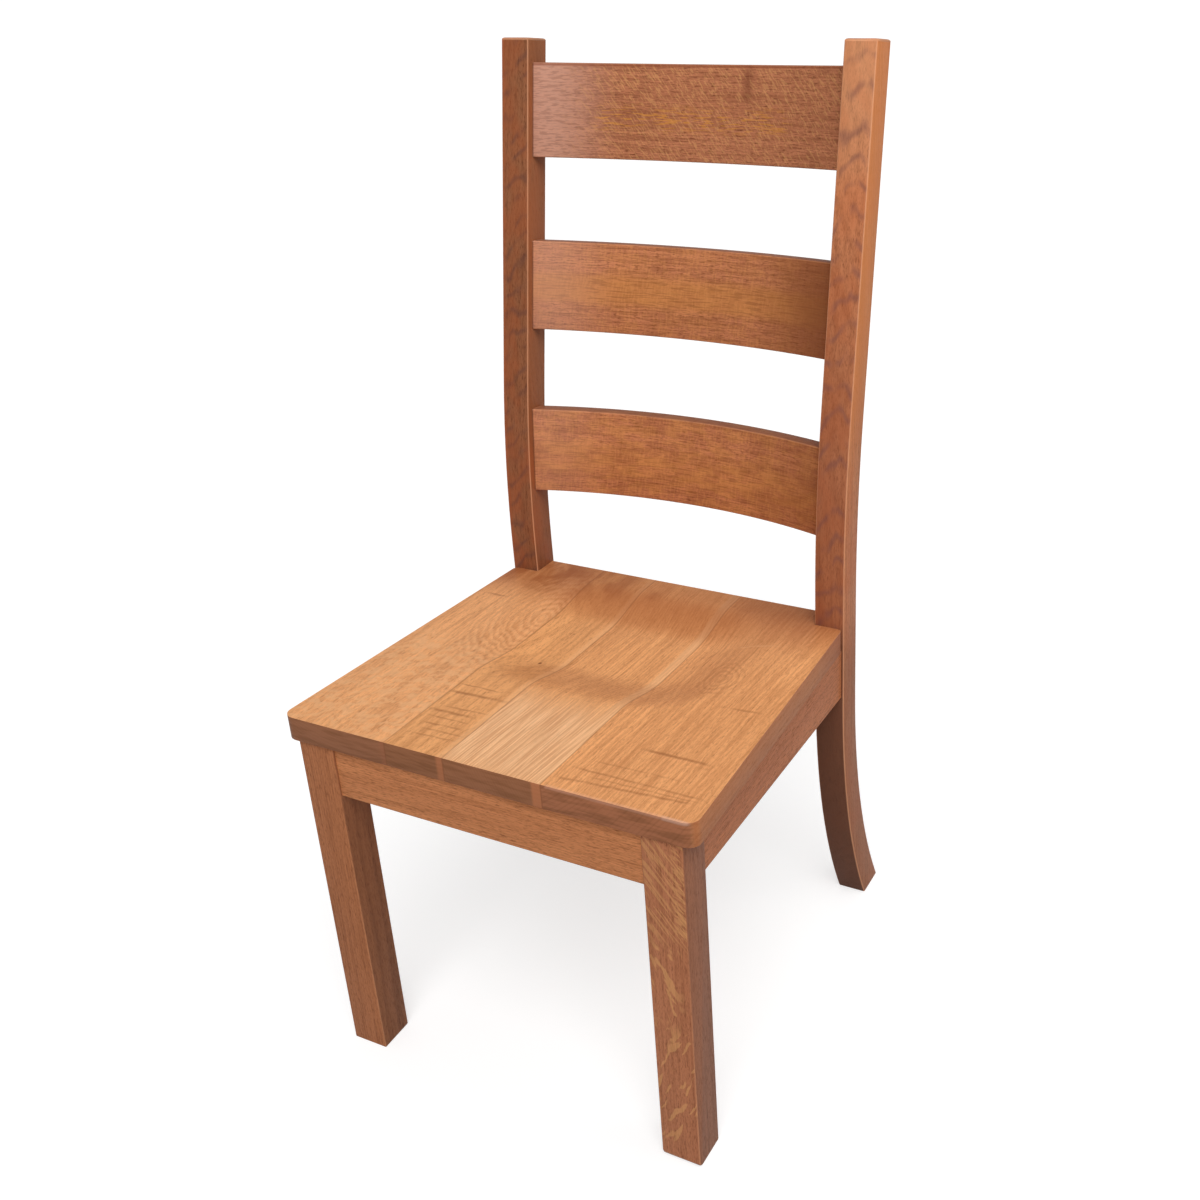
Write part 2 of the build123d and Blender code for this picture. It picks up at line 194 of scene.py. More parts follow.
class Value:
    """A number in a shader: wraps a socket, so that sums are written as Python."""

    def __init__(self, graph: "Graph", socket: bpy.types.NodeSocket) -> None:
        """Wraps a socket of a graph."""
        self.graph = graph
        self.socket = socket

    def __add__(self, other: Number) -> "Value":
        """Sum."""
        return self.graph.math("ADD", self, other)

    __radd__ = __add__

    def __mul__(self, other: Number) -> "Value":
        """Product."""
        return self.graph.math("MULTIPLY", self, other)

    __rmul__ = __mul__

    def __sub__(self, other: Number) -> "Value":
        """Difference."""
        return self.graph.math("SUBTRACT", self, other)

    def __rsub__(self, other: Number) -> "Value":
        """Difference from a number."""
        return self.graph.math("SUBTRACT", other, self)

    def __truediv__(self, other: Number) -> "Value":
        """Quotient."""
        return self.graph.math("DIVIDE", self, other)

    def __abs__(self) -> "Value":
        """Size without sign."""
        return self.graph.math("ABSOLUTE", self)

    def fraction(self) -> "Value":
        """The part after the decimal point."""
        return self.graph.math("FRACT", self)

    def floor(self) -> "Value":
        """The whole number below."""
        return self.graph.math("FLOOR", self)

    def root(self) -> "Value":
        """Square root."""
        return self.graph.math("SQRT", self)

    def rise(self, low: float, high: float) -> "Value":
        """A smooth step from 0 at low to 1 at high.

        Args:
            low: Where the step starts.
            high: Where the step is complete.

        Returns:
            The step's value.
        """
        settings = {"interpolation_type": "SMOOTHSTEP"}
        inputs = {"Value": self, "From Min": low, "From Max": high}
        return Value(self.graph, self.graph.node("ShaderNodeMapRange", settings, inputs).outputs[0])

    def between(self, low: float, high: float, soft: float) -> "Value":
        """1 between two limits, with soft ends.

        Args:
            low: Lower limit.
            high: Upper limit.
            soft: Width of each end.

        Returns:
            The window's value.
        """
        return self.rise(low - soft, low + soft) * (1 - self.rise(high - soft, high + soft))


class Graph:
    """A node graph that ends in one shader."""

    def __init__(self, tree: bpy.types.NodeTree, shader: str, output: str) -> None:
        """Empties a tree and links a bare shader to its output.

        Args:
            tree: The tree to fill.
            shader: Type of the shader node.
            output: Type of the output node.
        """
        self.tree = tree
        tree.nodes.clear()
        self.surface = self.node(shader, {}, {})
        self.output = self.node(output, {}, {0: self.surface.outputs[0]})

    def node(self, kind: str, settings: dict, inputs: dict) -> bpy.types.Node:
        """Adds one node.

        Args:
            kind: The node's type.
            settings: Its properties, set first.
            inputs: Values or links by socket name or number.

        Returns:
            The new node.
        """
        node = self.tree.nodes.new(kind)
        for key, setting in settings.items():
            setattr(node, key, setting)
        for key, given in inputs.items():
            self.feed(node.inputs[key], given)
        return node

    def feed(self, socket: bpy.types.NodeSocket, given: object) -> None:
        """Links a socket or sets its value.

        Args:
            socket: The socket to feed.
            given: A wrapped value, a socket, a number or a colour.
        """
        given = given.socket if isinstance(given, Value) else given
        if isinstance(given, bpy.types.NodeSocket):
            self.tree.links.new(given, socket)
        elif socket.type == "RGBA" and len(given) == 3:
            socket.default_value = (*given, 1.0)
        else:
            socket.default_value = given

    def math(self, operation: str, *values: Number) -> Value:
        """Adds a Math node.

        Args:
            operation: The node's operation.
            values: Its one or two inputs.

        Returns:
            The result.
        """
        inputs = dict(enumerate(values))
        return Value(self, self.node("ShaderNodeMath", {"operation": operation}, inputs).outputs[0])

    def vector(self, x: Number, y: Number, z: Number) -> bpy.types.NodeSocket:
        """Three numbers as one vector."""
        return self.node("ShaderNodeCombineXYZ", {}, {0: x, 1: y, 2: z}).outputs[0]

    def split(self, vector: bpy.types.NodeSocket) -> tuple[Value, Value, Value]:
        """The three numbers of a vector."""
        outputs = self.node("ShaderNodeSeparateXYZ", {}, {0: vector}).outputs
        return tuple(Value(self, output) for output in outputs)

    def noise(self, x: Number, y: Number, z: Number, detail: float = 2.0, rough: float = 0.5) -> Value:
        """Smooth noise from 0 to 1 at a point.

        Args:
            x: First coordinate, one unit per feature.
            y: Second coordinate.
            z: Third coordinate.
            detail: Octaves of finer noise.
            rough: Strength of each finer octave.

        Returns:
            The noise.
        """
        inputs = {"Vector": self.vector(x, y, z), "Scale": 1.0, "Detail": detail, "Roughness": rough}
        return Value(self, self.node("ShaderNodeTexNoise", {}, inputs).outputs[0])

    def chance(self, number: Value) -> Value:
        """A fixed chance value from 0 to 1 for each whole number."""
        settings = {"noise_dimensions": "1D"}
        return Value(self, self.node("ShaderNodeTexWhiteNoise", settings, {"W": number}).outputs[0])

    def attribute(self, name: str, output: str) -> bpy.types.NodeSocket:
        """An output of one of the mesh's own attributes."""
        return self.node("ShaderNodeAttribute", {"attribute_name": name}, {}).outputs[output]

    def mix(self, share: Number, first: object, second: object) -> bpy.types.NodeSocket:
        """A mix of two colours.

        Args:
            share: How much of the second colour.
            first: Colour or socket.
            second: Colour or socket.

        Returns:
            The mixed colour's socket.
        """
        node = self.node("ShaderNodeMix", {"data_type": "RGBA"}, {})
        sockets = {socket.identifier: socket for socket in node.inputs}
        self.feed(sockets["Factor_Float"], share)
        self.feed(sockets["A_Color"], first)
        self.feed(sockets["B_Color"], second)
        return next(socket for socket in node.outputs if socket.identifier == "Result_Color")


class MaterialGraph(Graph):
    """The node graph of one new material."""

    def __init__(self, name: str) -> None:
        """Starts a material with a bare surface shader.

        Args:
            name: The material's name.
        """
        self.material = bpy.data.materials.new(name)
        self.material.use_nodes = True
        super().__init__(self.material.node_tree, "ShaderNodeBsdfPrincipled", "ShaderNodeOutputMaterial")


@dataclass(frozen=True)
class Surface:
    """Where a shader stands on a piece.

    The place is in the drawing's frame, or along the slat before it was bent. Along and across follow the
    fibres, and wobble is a small unevenness round 0 that hand-made marks share.
    """

    graph: Graph
    place: tuple[Value, Value, Value]
    normal: tuple[Value, Value, Value]
    along: Value
    across: Value
    wobble: Value
    seed: float


@dataclass(frozen=True)
class Window:
    """A soft-edged part of a piece.

    A direction without limits is open. Face keeps the window to the faces that look either way along a
    direction, and sign, if it isn't 0, to those that look to its far or near end. Turned says how
    squarely a face has to look that way.
    """

    x: Span | None = None
    y: Span | None = None
    z: Span | None = None
    soft: float = 0.006
    face: Grain | None = None
    sign: int = 0
    turned: Span = (0.6, 0.9)

    def share(self, at: Surface) -> Number:
        """How far a point lies inside the window.

        Args:
            at: The point.

        Returns:
            From 0 outside to 1 inside.
        """
        limits = zip((self.x, self.y, self.z), at.place)
        parts = [value.between(*limit, self.soft) for limit, value in limits if limit is not None]
        if self.face is not None:
            turn = at.normal[self.face.axis]
            parts.append((turn * self.sign if self.sign else abs(turn)).rise(*self.turned))
        return reduce(mul, parts) if parts else 1.0


CLOUD_SHIFT, DASH_SHIFT, WEAVE_SHIFT, DRIFT_SHIFT, COVER_SHIFT = 3.0, 5.0, 7.0, 31.0, 37.0


@dataclass(frozen=True)
class Tint:
    """A part of a piece with another colour, where the wood or its stain differs or where light or shade is
    painted in.

    Clouds is the number of patches in a metre that break the tint up, or 0 for an even one. Cloudy is
    the range of noise over which a patch shows.
    """

    colour: Colour
    strength: float
    window: Window = Window()
    clouds: float = 0.0
    relief: float = 0.0
    cloudy: Span = (0.40, 0.62)

    def share(self, at: Surface) -> Value:
        """How strong the tint is at a point.

        Args:
            at: The point.

        Returns:
            From 0 to the mark's strength.
        """
        share = self.window.share(at) * self.strength
        if self.clouds:
            depth = at.seed + CLOUD_SHIFT
            cloud = at.graph.noise(at.along * self.clouds, at.across * self.clouds * 2, depth)
            share = cloud.rise(*self.cloudy) * share
        return share


@dataclass(frozen=True)
class Streaks:
    """Dashes of ray figure, or of dark pores, that lie at an angle to the fibres.

    Along and across give the dashes' length and width as the number of them in a metre. Floor is the
    level of noise above which a dash shows, and fade the width of its soft edge.
    """

    colour: Colour
    strength: float
    along: float
    across: float
    angle: float
    window: Window = Window()
    floor: float = 0.57
    fade: float = 0.09
    waver: float = 0.006
    relief: float = 0.2

    def share(self, at: Surface) -> Value:
        """How strong the dashes are at a point.

        Args:
            at: The point.

        Returns:
            From 0 to the mark's strength.
        """
        turn, lift = math.cos(self.angle), math.sin(self.angle)
        lengthwise = at.along * turn + at.across * lift
        crosswise = at.across * turn - at.along * lift + at.wobble * self.waver
        depth = at.seed + DASH_SHIFT
        level = at.graph.noise(lengthwise * self.along, crosswise * self.across, depth, 1.0)
        return level.rise(self.floor, self.floor + self.fade) * self.window.share(at) * self.strength


@dataclass(frozen=True)
class Chevrons:
    """Feathered strokes up a post's face, each an upturned V with its point at apex."""

    colour: Colour
    strength: float
    pitch: float
    slope: float
    apex: float
    window: Window = Window()
    relief: float = 0.0
    drift: float = 2.2
    drift_scale: Span = (12, 30)
    cover_scale: Span = (22, 40)
    covered: Span = (0.36, 0.58)
    stroke: tuple[float, float, float] = (0.40, 0.56, 0.20)

    def share(self, at: Surface) -> Value:
        """How strong the strokes are at a point.

        Args:
            at: The point.

        Returns:
            From 0 to the mark's strength.
        """
        x, _, z = at.place
        drift = at.graph.noise(z * self.drift_scale[0], x * self.drift_scale[1], at.seed + DRIFT_SHIFT) - 0.5
        level = z + abs(x - self.apex) * self.slope + drift * self.pitch * self.drift
        stroke = (level / self.pitch).fraction().between(*self.stroke)
        cover = at.graph.noise(z * self.cover_scale[0], x * self.cover_scale[1], at.seed + COVER_SHIFT)
        cover = cover.rise(*self.covered)
        return stroke * cover * self.window.share(at) * self.strength


@dataclass(frozen=True)
class SlopeShade:
    """Painted shade on the walls of a hollow: darker where a face leans a level way by more than least."""

    colour: Colour
    strength: float
    towards: Span
    least: float
    most: float
    relief: float = 0.0

    def share(self, at: Surface) -> Value:
        """How strong the shade is at a point."""
        lean = at.normal[0] * self.towards[0] + at.normal[1] * self.towards[1]
        return lean.rise(self.least, self.most) * Window(face=Grain.UP).share(at) * self.strength


@dataclass(frozen=True)
class Swirl:
    """Nested ovals of growth rings round a place of the seat, drawn out along the fibres."""

    colour: Colour
    strength: float
    x: float
    y: float
    stretch: float
    pitch: float
    reach: float
    relief: float = -0.2
    waver: float = 2.4
    line: Span = (0.20, 0.75)
    line_end: Span = (0.80, 1.0)
    fading: float = 0.55

    def share(self, at: Surface) -> Value:
        """How strong the rings are at a point.

        Args:
            at: The point.

        Returns:
            From 0 to the mark's strength.
        """
        aside = (at.place[0] - self.x) * self.stretch
        behind = at.place[1] - self.y
        far = (aside * aside + behind * behind).root() + at.wobble * self.pitch * self.waver
        phase = (far / self.pitch).fraction()
        lines = phase.rise(*self.line) * (1 - phase.rise(*self.line_end))
        return lines * (1 - far.rise(self.reach * self.fading, self.reach)) * self.strength


@dataclass(frozen=True)
class SawCut:
    """One stroke that the saw left across a board of the seat."""

    x: Span
    y: float
    tilt: float = 0.0
    width: float = 0.0034
    strength: float = 0.55
    colour: Colour = shown(140, 84, 48)
    relief: float = -0.6
    waver: float = 0.0045
    soft: float = 0.009
    broken: Span = (0.22, 0.55)

    def share(self, at: Surface) -> Value:
        """How strong the stroke is at a point.

        Args:
            at: The point.

        Returns:
            From 0 to the mark's strength.
        """
        x, y, _ = at.place
        middle = sum(self.x) / 2
        off = abs(y - self.y - (x - middle) * self.tilt + at.wobble * self.waver)
        stroke = 1 - off.rise(0.0, self.width)
        whole = (at.wobble + 0.5).rise(*self.broken)
        return stroke * x.between(*self.x, self.soft) * whole * self.strength


@dataclass(frozen=True)
class Knot:
    """A small knot in the seat."""

    x: float
    y: float
    size: float
    strength: float = 0.85
    colour: Colour = shown(104, 58, 36)
    relief: float = -0.4
    squeeze: float = 2.2
    core: float = 0.3

    def share(self, at: Surface) -> Value:
        """How strong the knot is at a point.

        Args:
            at: The point.

        Returns:
            From 0 to the mark's strength.
        """
        aside = at.place[0] - self.x
        behind = at.place[1] - self.y
        far = (aside * aside * self.squeeze + behind * behind).root()
        return (1 - far.rise(self.size * self.core, self.size)) * self.strength


Mark = Tint | Streaks | Chevrons | SlopeShade | Swirl | SawCut | Knot


@dataclass(frozen=True)
class Tones:
    """The colours of one stained piece: its plain wood, and the shares of it that its other parts keep."""

    plain: Colour
    pale: Colour = (1.14, 1.17, 1.18)
    deep: Colour = (0.60, 0.53, 0.47)
    pore: Colour = (0.42, 0.36, 0.34)
    end: Colour = (0.39, 0.34, 0.36)
    end_deep: Colour = (0.29, 0.24, 0.24)

    def shade(self, share: Colour) -> Colour:
        """The plain colour with each part scaled."""
        return tuple(part * scale for part, scale in zip(self.plain, share))


@dataclass(frozen=True)
class Scale:
    """The number of a noise's features in a metre along and across the fibres, and its finer detail."""

    along: float
    across: float
    detail: float = 2.0
    rough: float = 0.5


SLOW, QUICK = Scale(2.4, 9), Scale(16, 70, 3.0)
COARSE_PORES, FINE_PORES = Scale(85, 620, 2.0, 0.6), Scale(190, 950, 1.0)
HAIRS, BANDS, WEAVE = Scale(7, 210, 3.0, 0.6), Scale(1.3, 20), Scale(26, 240, 3.0)
EARLY_WOOD, EARLY_WOOD_END = (0.40, 0.85), (0.88, 1.0)
COARSE_SHOWN, FINE_SHOWN = (0.53, 0.66), (0.50, 0.68)
HAIRS_SHOWN, BANDS_SHOWN = (0.42, 0.70), (0.35, 0.65)
WEAVE_SHOWN, END_SHOWN = (0.40, 0.66), (0.34, 0.90)


@dataclass(frozen=True)
class OakFinish:
    """Stained and lacquered oak for one piece.

    The growth rings lie round a pith line that runs with the fibres at pith, as distances across the
    piece from its middle.
    """

    name: str
    slot: str
    grain: Grain
    middle: Span
    tones: Tones
    pith: Span = (0.3, 0.2)
    ring: float = 0.004
    ring_strength: float = 0.5
    wander: float = 0.010
    shiver: float = 0.0012
    pore_strength: float = 0.69
    streak: float = 0.45
    seed: float = 0.0
    marks: tuple[Mark, ...] = ()
    bent: bool = False
    arris: Colour = shown(236, 172, 132)
    arris_strength: float = 0.65
    roughness: float = 0.32
    pore_dullness: float = 0.14
    hair_dullness: float = 0.08
    specular: float = 0.10
    bump: float = 0.25
    bump_height: float = 0.0006

    def material(self) -> bpy.types.Material:
        """The finish as a material.

        Returns:
            The new material.
        """
        graph = MaterialGraph(self.name)
        origin = graph.node("ShaderNodeTexCoord", {}, {})
        point = graph.attribute("straight", "Vector") if self.bent else origin.outputs["Object"]
        x, y, z = graph.split(point)
        y = y if self.bent else y - SIZES.onto_frame
        normal = graph.split(origin.outputs["Normal"])
        along, first, second = {
            Grain.ACROSS: (x, y, z),
            Grain.BACK: (y, x, z),
            Grain.UP: (z, x, y),
        }[self.grain]
        along = along + self.seed
        first = first - self.middle[0]
        second = second - self.middle[1]

        def noise(scale: Scale) -> Value:
            """Noise in the piece's fibres."""
            depth = second * scale.across + self.seed
            return graph.noise(along * scale.along, first * scale.across, depth, scale.detail, scale.rough)

        slow = graph.noise(along * SLOW.along, first * SLOW.across + self.seed, second * SLOW.across) - 0.5
        quick = noise(QUICK) - 0.5
        aside = first - self.pith[0]
        below = second - self.pith[1]
        radius = (aside * aside + below * below).root() + slow * self.wander + quick * self.shiver
        rings = radius / self.ring
        phase = rings.fraction()
        early = phase.rise(*EARLY_WOOD) * (1 - phase.rise(*EARLY_WOOD_END))
        early = early * (graph.chance(rings.floor()) * 0.75 + 0.25)

        pores = noise(COARSE_PORES).rise(*COARSE_SHOWN) * (early * 0.5 + 0.5)
        pores = pores + noise(FINE_PORES).rise(*FINE_SHOWN) * 0.50
        hairs = noise(HAIRS)

        tones = self.tones
        deep = tones.shade(tones.deep)
        colour = graph.mix(noise(BANDS).rise(*BANDS_SHOWN), tones.plain, tones.shade(tones.pale))
        colour = graph.mix(hairs.rise(*HAIRS_SHOWN) * self.streak, colour, deep)
        colour = graph.mix(early * self.ring_strength, colour, deep)
        colour = graph.mix(pores * self.pore_strength, colour, tones.shade(tones.pore))
        relief = pores * -0.5 - early * 0.3
        if not self.bent:
            cut = abs(normal[self.grain.axis])
            depth = self.seed + WEAVE_SHIFT
            weave = graph.noise(first * WEAVE.along, second * WEAVE.across, depth, WEAVE.detail)
            dark = early * 0.3 + weave.rise(*WEAVE_SHOWN) * 0.6
            ends = graph.mix(dark, tones.shade(tones.end), tones.shade(tones.end_deep))
            colour = graph.mix(cut.rise(*END_SHOWN), colour, ends)

        at = Surface(graph, (x, y, z), normal, along, first + second, quick, self.seed)
        for mark in self.marks:
            share = mark.share(at)
            colour = graph.mix(share, colour, mark.colour)
            if mark.relief:
                relief = relief + share * mark.relief
        # Rounded arrises are lightened: partly stain rubbed through, partly a painted highlight.
        worn = Value(graph, graph.attribute("arris", "Fac"))
        colour = graph.mix(worn * (hairs * 0.8 + 0.6) * self.arris_strength, colour, self.arris)

        shader = graph.surface.inputs
        graph.feed(shader["Base Color"], colour)
        dull = pores * self.pore_dullness + hairs * self.hair_dullness
        graph.feed(shader["Roughness"], dull + self.roughness)
        height = {"Strength": self.bump, "Distance": self.bump_height, "Height": relief}
        graph.feed(shader["Normal"], graph.node("ShaderNodeBump", {}, height).outputs[0])
        graph.feed(shader["Specular IOR Level"], self.specular)
        return graph.material


@dataclass(frozen=True)
class ScrewFinish:
    """Zinc-plated steel with dulled patches."""

    name: str = "zinc_plated_steel"
    bright: Colour = (0.52, 0.51, 0.47)
    dulled: Colour = (0.34, 0.32, 0.28)
    patches: float = 260
    roughness: float = 0.28
    roughened: float = 0.25

    def material(self) -> bpy.types.Material:
        """The finish as a material.

        Returns:
            The new material.
        """
        graph = MaterialGraph(self.name)
        x, y, z = graph.split(graph.node("ShaderNodeTexCoord", {}, {}).outputs["Object"])
        dull = graph.noise(x * self.patches, y * self.patches, z * self.patches, 3.0)
        shader = graph.surface.inputs
        graph.feed(shader["Base Color"], graph.mix(dull.rise(0.35, 0.7), self.bright, self.dulled))
        graph.feed(shader["Roughness"], dull * self.roughened + self.roughness)
        graph.feed(shader["Metallic"], 1.0)
        return graph.material


class Workpiece:
    """One wooden piece on the bench, shaped in edit mode from a block."""

    def __init__(self, name: str, low: Sequence[float], high: Sequence[float]) -> None:
        """Starts from a block that fills a box.

        Args:
            name: The piece's name.
            low: Lowest corner of the block.
            high: Highest corner of the block.
        """
        bpy.ops.object.select_all(action="DESELECT")
        size = [top - bottom for bottom, top in zip(low, high)]
        centre = [(top + bottom) / 2 for bottom, top in zip(low, high)]
        bpy.ops.mesh.primitive_cube_add(size=1, location=centre, scale=size)
        bpy.ops.object.transform_apply(location=True, rotation=True, scale=True)
        self.obj = bpy.context.object
        self.obj.name = self.obj.data.name = name
        self.obj.data.attributes.new("arris", "FLOAT", "POINT")
        self.edit()

    def edit(self) -> None:
        """Makes the piece the only one in edit mode."""
        if bpy.context.object is not None and bpy.context.object.mode != "OBJECT":
            bpy.ops.object.mode_set(mode="OBJECT")
        bpy.ops.object.select_all(action="DESELECT")
        self.obj.select_set(True)
        bpy.context.view_layer.objects.active = self.obj
        bpy.ops.object.mode_set(mode="EDIT")

    def copy(self, name: str) -> "Workpiece":
        """Another piece with its own copy of the mesh.

        Args:
            name: The copy's name.

        Returns:
            The copy, on the bench.
        """
        bpy.ops.object.mode_set(mode="OBJECT")
        twin = self.obj.copy()
        twin.data = self.obj.data.copy()
        bpy.context.scene.collection.objects.link(twin)
        piece = Workpiece.__new__(Workpiece)
        piece.obj = twin
        twin.name = twin.data.name = name
        piece.edit()
        return piece

    def mesh(self) -> bmesh.types.BMesh:
        """The mesh under edit."""
        return bmesh.from_edit_mesh(self.obj.data)

    def pick(self, kind: Part, test: Callable[[object], bool]) -> None:
        """Selects what passes a test, and nothing else.

        Args:
            kind: What is picked.
            test: The test of each corner, edge or face.
        """
        bpy.ops.mesh.select_mode(type=kind.value)
        bpy.ops.mesh.select_all(action="DESELECT")
        mesh = self.mesh()
        parts = {Part.CORNER: mesh.verts, Part.EDGE: mesh.edges, Part.FACE: mesh.faces}[kind]
        for part in [part for part in parts if test(part)]:
            part.select_set(True)
        bmesh.update_edit_mesh(self.obj.data)

    def slide(self, x: float = 0.0, y: float = 0.0, z: float = 0.0) -> None:
        """Moves what is selected."""
        bpy.ops.transform.translate(value=(x, y, z))

    def pull(self, x: float = 0.0, y: float = 0.0, z: float = 0.0) -> None:
        """Extrudes the selected faces."""
        bpy.ops.mesh.extrude_region_move(TRANSFORM_OT_translate={"value": (x, y, z)})

    def sweep(self, steps: int, angle: float, centre: Sequence[float], axis: Sequence[float]) -> None:
        """Extrudes the selected faces round an axis.

        Args:
            steps: Number of extrusions.
            angle: Whole turn in radians.
            centre: A point on the axis.
            axis: The axis's direction.
        """
        bpy.ops.mesh.spin(steps=steps, angle=angle, center=centre, axis=axis)

    def cut(self, point: Sequence[float], normal: Sequence[float], keep_all: bool = False) -> None:
        """Cuts the piece with a plane.

        Args:
            point: A point on the plane.
            normal: The plane's normal, which points to the waste.
            keep_all: Keeps both sides, with new edges along the cut.
        """
        bpy.ops.mesh.select_mode(type="EDGE")
        bpy.ops.mesh.select_all(action="SELECT")
        bpy.ops.mesh.bisect(plane_co=point, plane_no=normal, clear_outer=not keep_all)
        if not keep_all:
            bpy.ops.mesh.edge_face_add()

    def clean(self) -> None:
        """Takes out edges with no length and the points that lie on one another."""
        bpy.ops.mesh.select_all(action="SELECT")
        bpy.ops.mesh.dissolve_degenerate(threshold=NEAR / 4)

    def ease(self, radius: float, segments: int = 3) -> None:
        """Rounds the selected edges and marks the new faces as arris.

        Args:
            radius: Radius of the rounding.
            segments: Faces across it.
        """
        bpy.ops.mesh.bevel(offset=radius, segments=segments, affect="EDGES", clamp_overlap=True)
        mesh = self.mesh()
        layer = mesh.verts.layers.float["arris"]
        for corner in mesh.verts:
            if corner.link_faces and all(face.select for face in corner.link_faces):
                corner[layer] = 1.0
        bmesh.update_edit_mesh(self.obj.data)

    def settle(self, finish: OakFinish, *nodes: str) -> bpy.types.Object:
        """Moves the finished piece onto the frame in place of its CAD nodes.

        Args:
            finish: The piece's finish.
            nodes: The CAD nodes that it stands for.

        Returns:
            The finished object.
        """
        bpy.ops.object.mode_set(mode="OBJECT")
        self.obj.data.transform(Matrix.Translation((0, SIZES.onto_frame, 0)))
        bpy.ops.object.shade_smooth_by_angle(angle=SMOOTH_ANGLE)
        self.obj.data.materials.clear()
        self.obj.data.materials.append(finish.material())
        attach(self.obj, BODY)
        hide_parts(*nodes)
        LOG.info("%s: %d faces, finish %s", self.obj.name, len(self.obj.data.polygons), finish.name)
        return self.obj


def sharp(edge: bmesh.types.BMEdge) -> bool:
    """Whether an edge is an arris, where the surface turns by a clear angle."""
    return edge.is_manifold and edge.calc_face_angle() > SHARP_ANGLE


def run(edge: bmesh.types.BMEdge) -> Vector:
    """The step from one end of an edge to the other, without signs."""
    return Vector([abs(part) for part in edge.verts[1].co - edge.verts[0].co])


RAY = shown(228, 168, 108)
JOINT = shown(84, 46, 30)


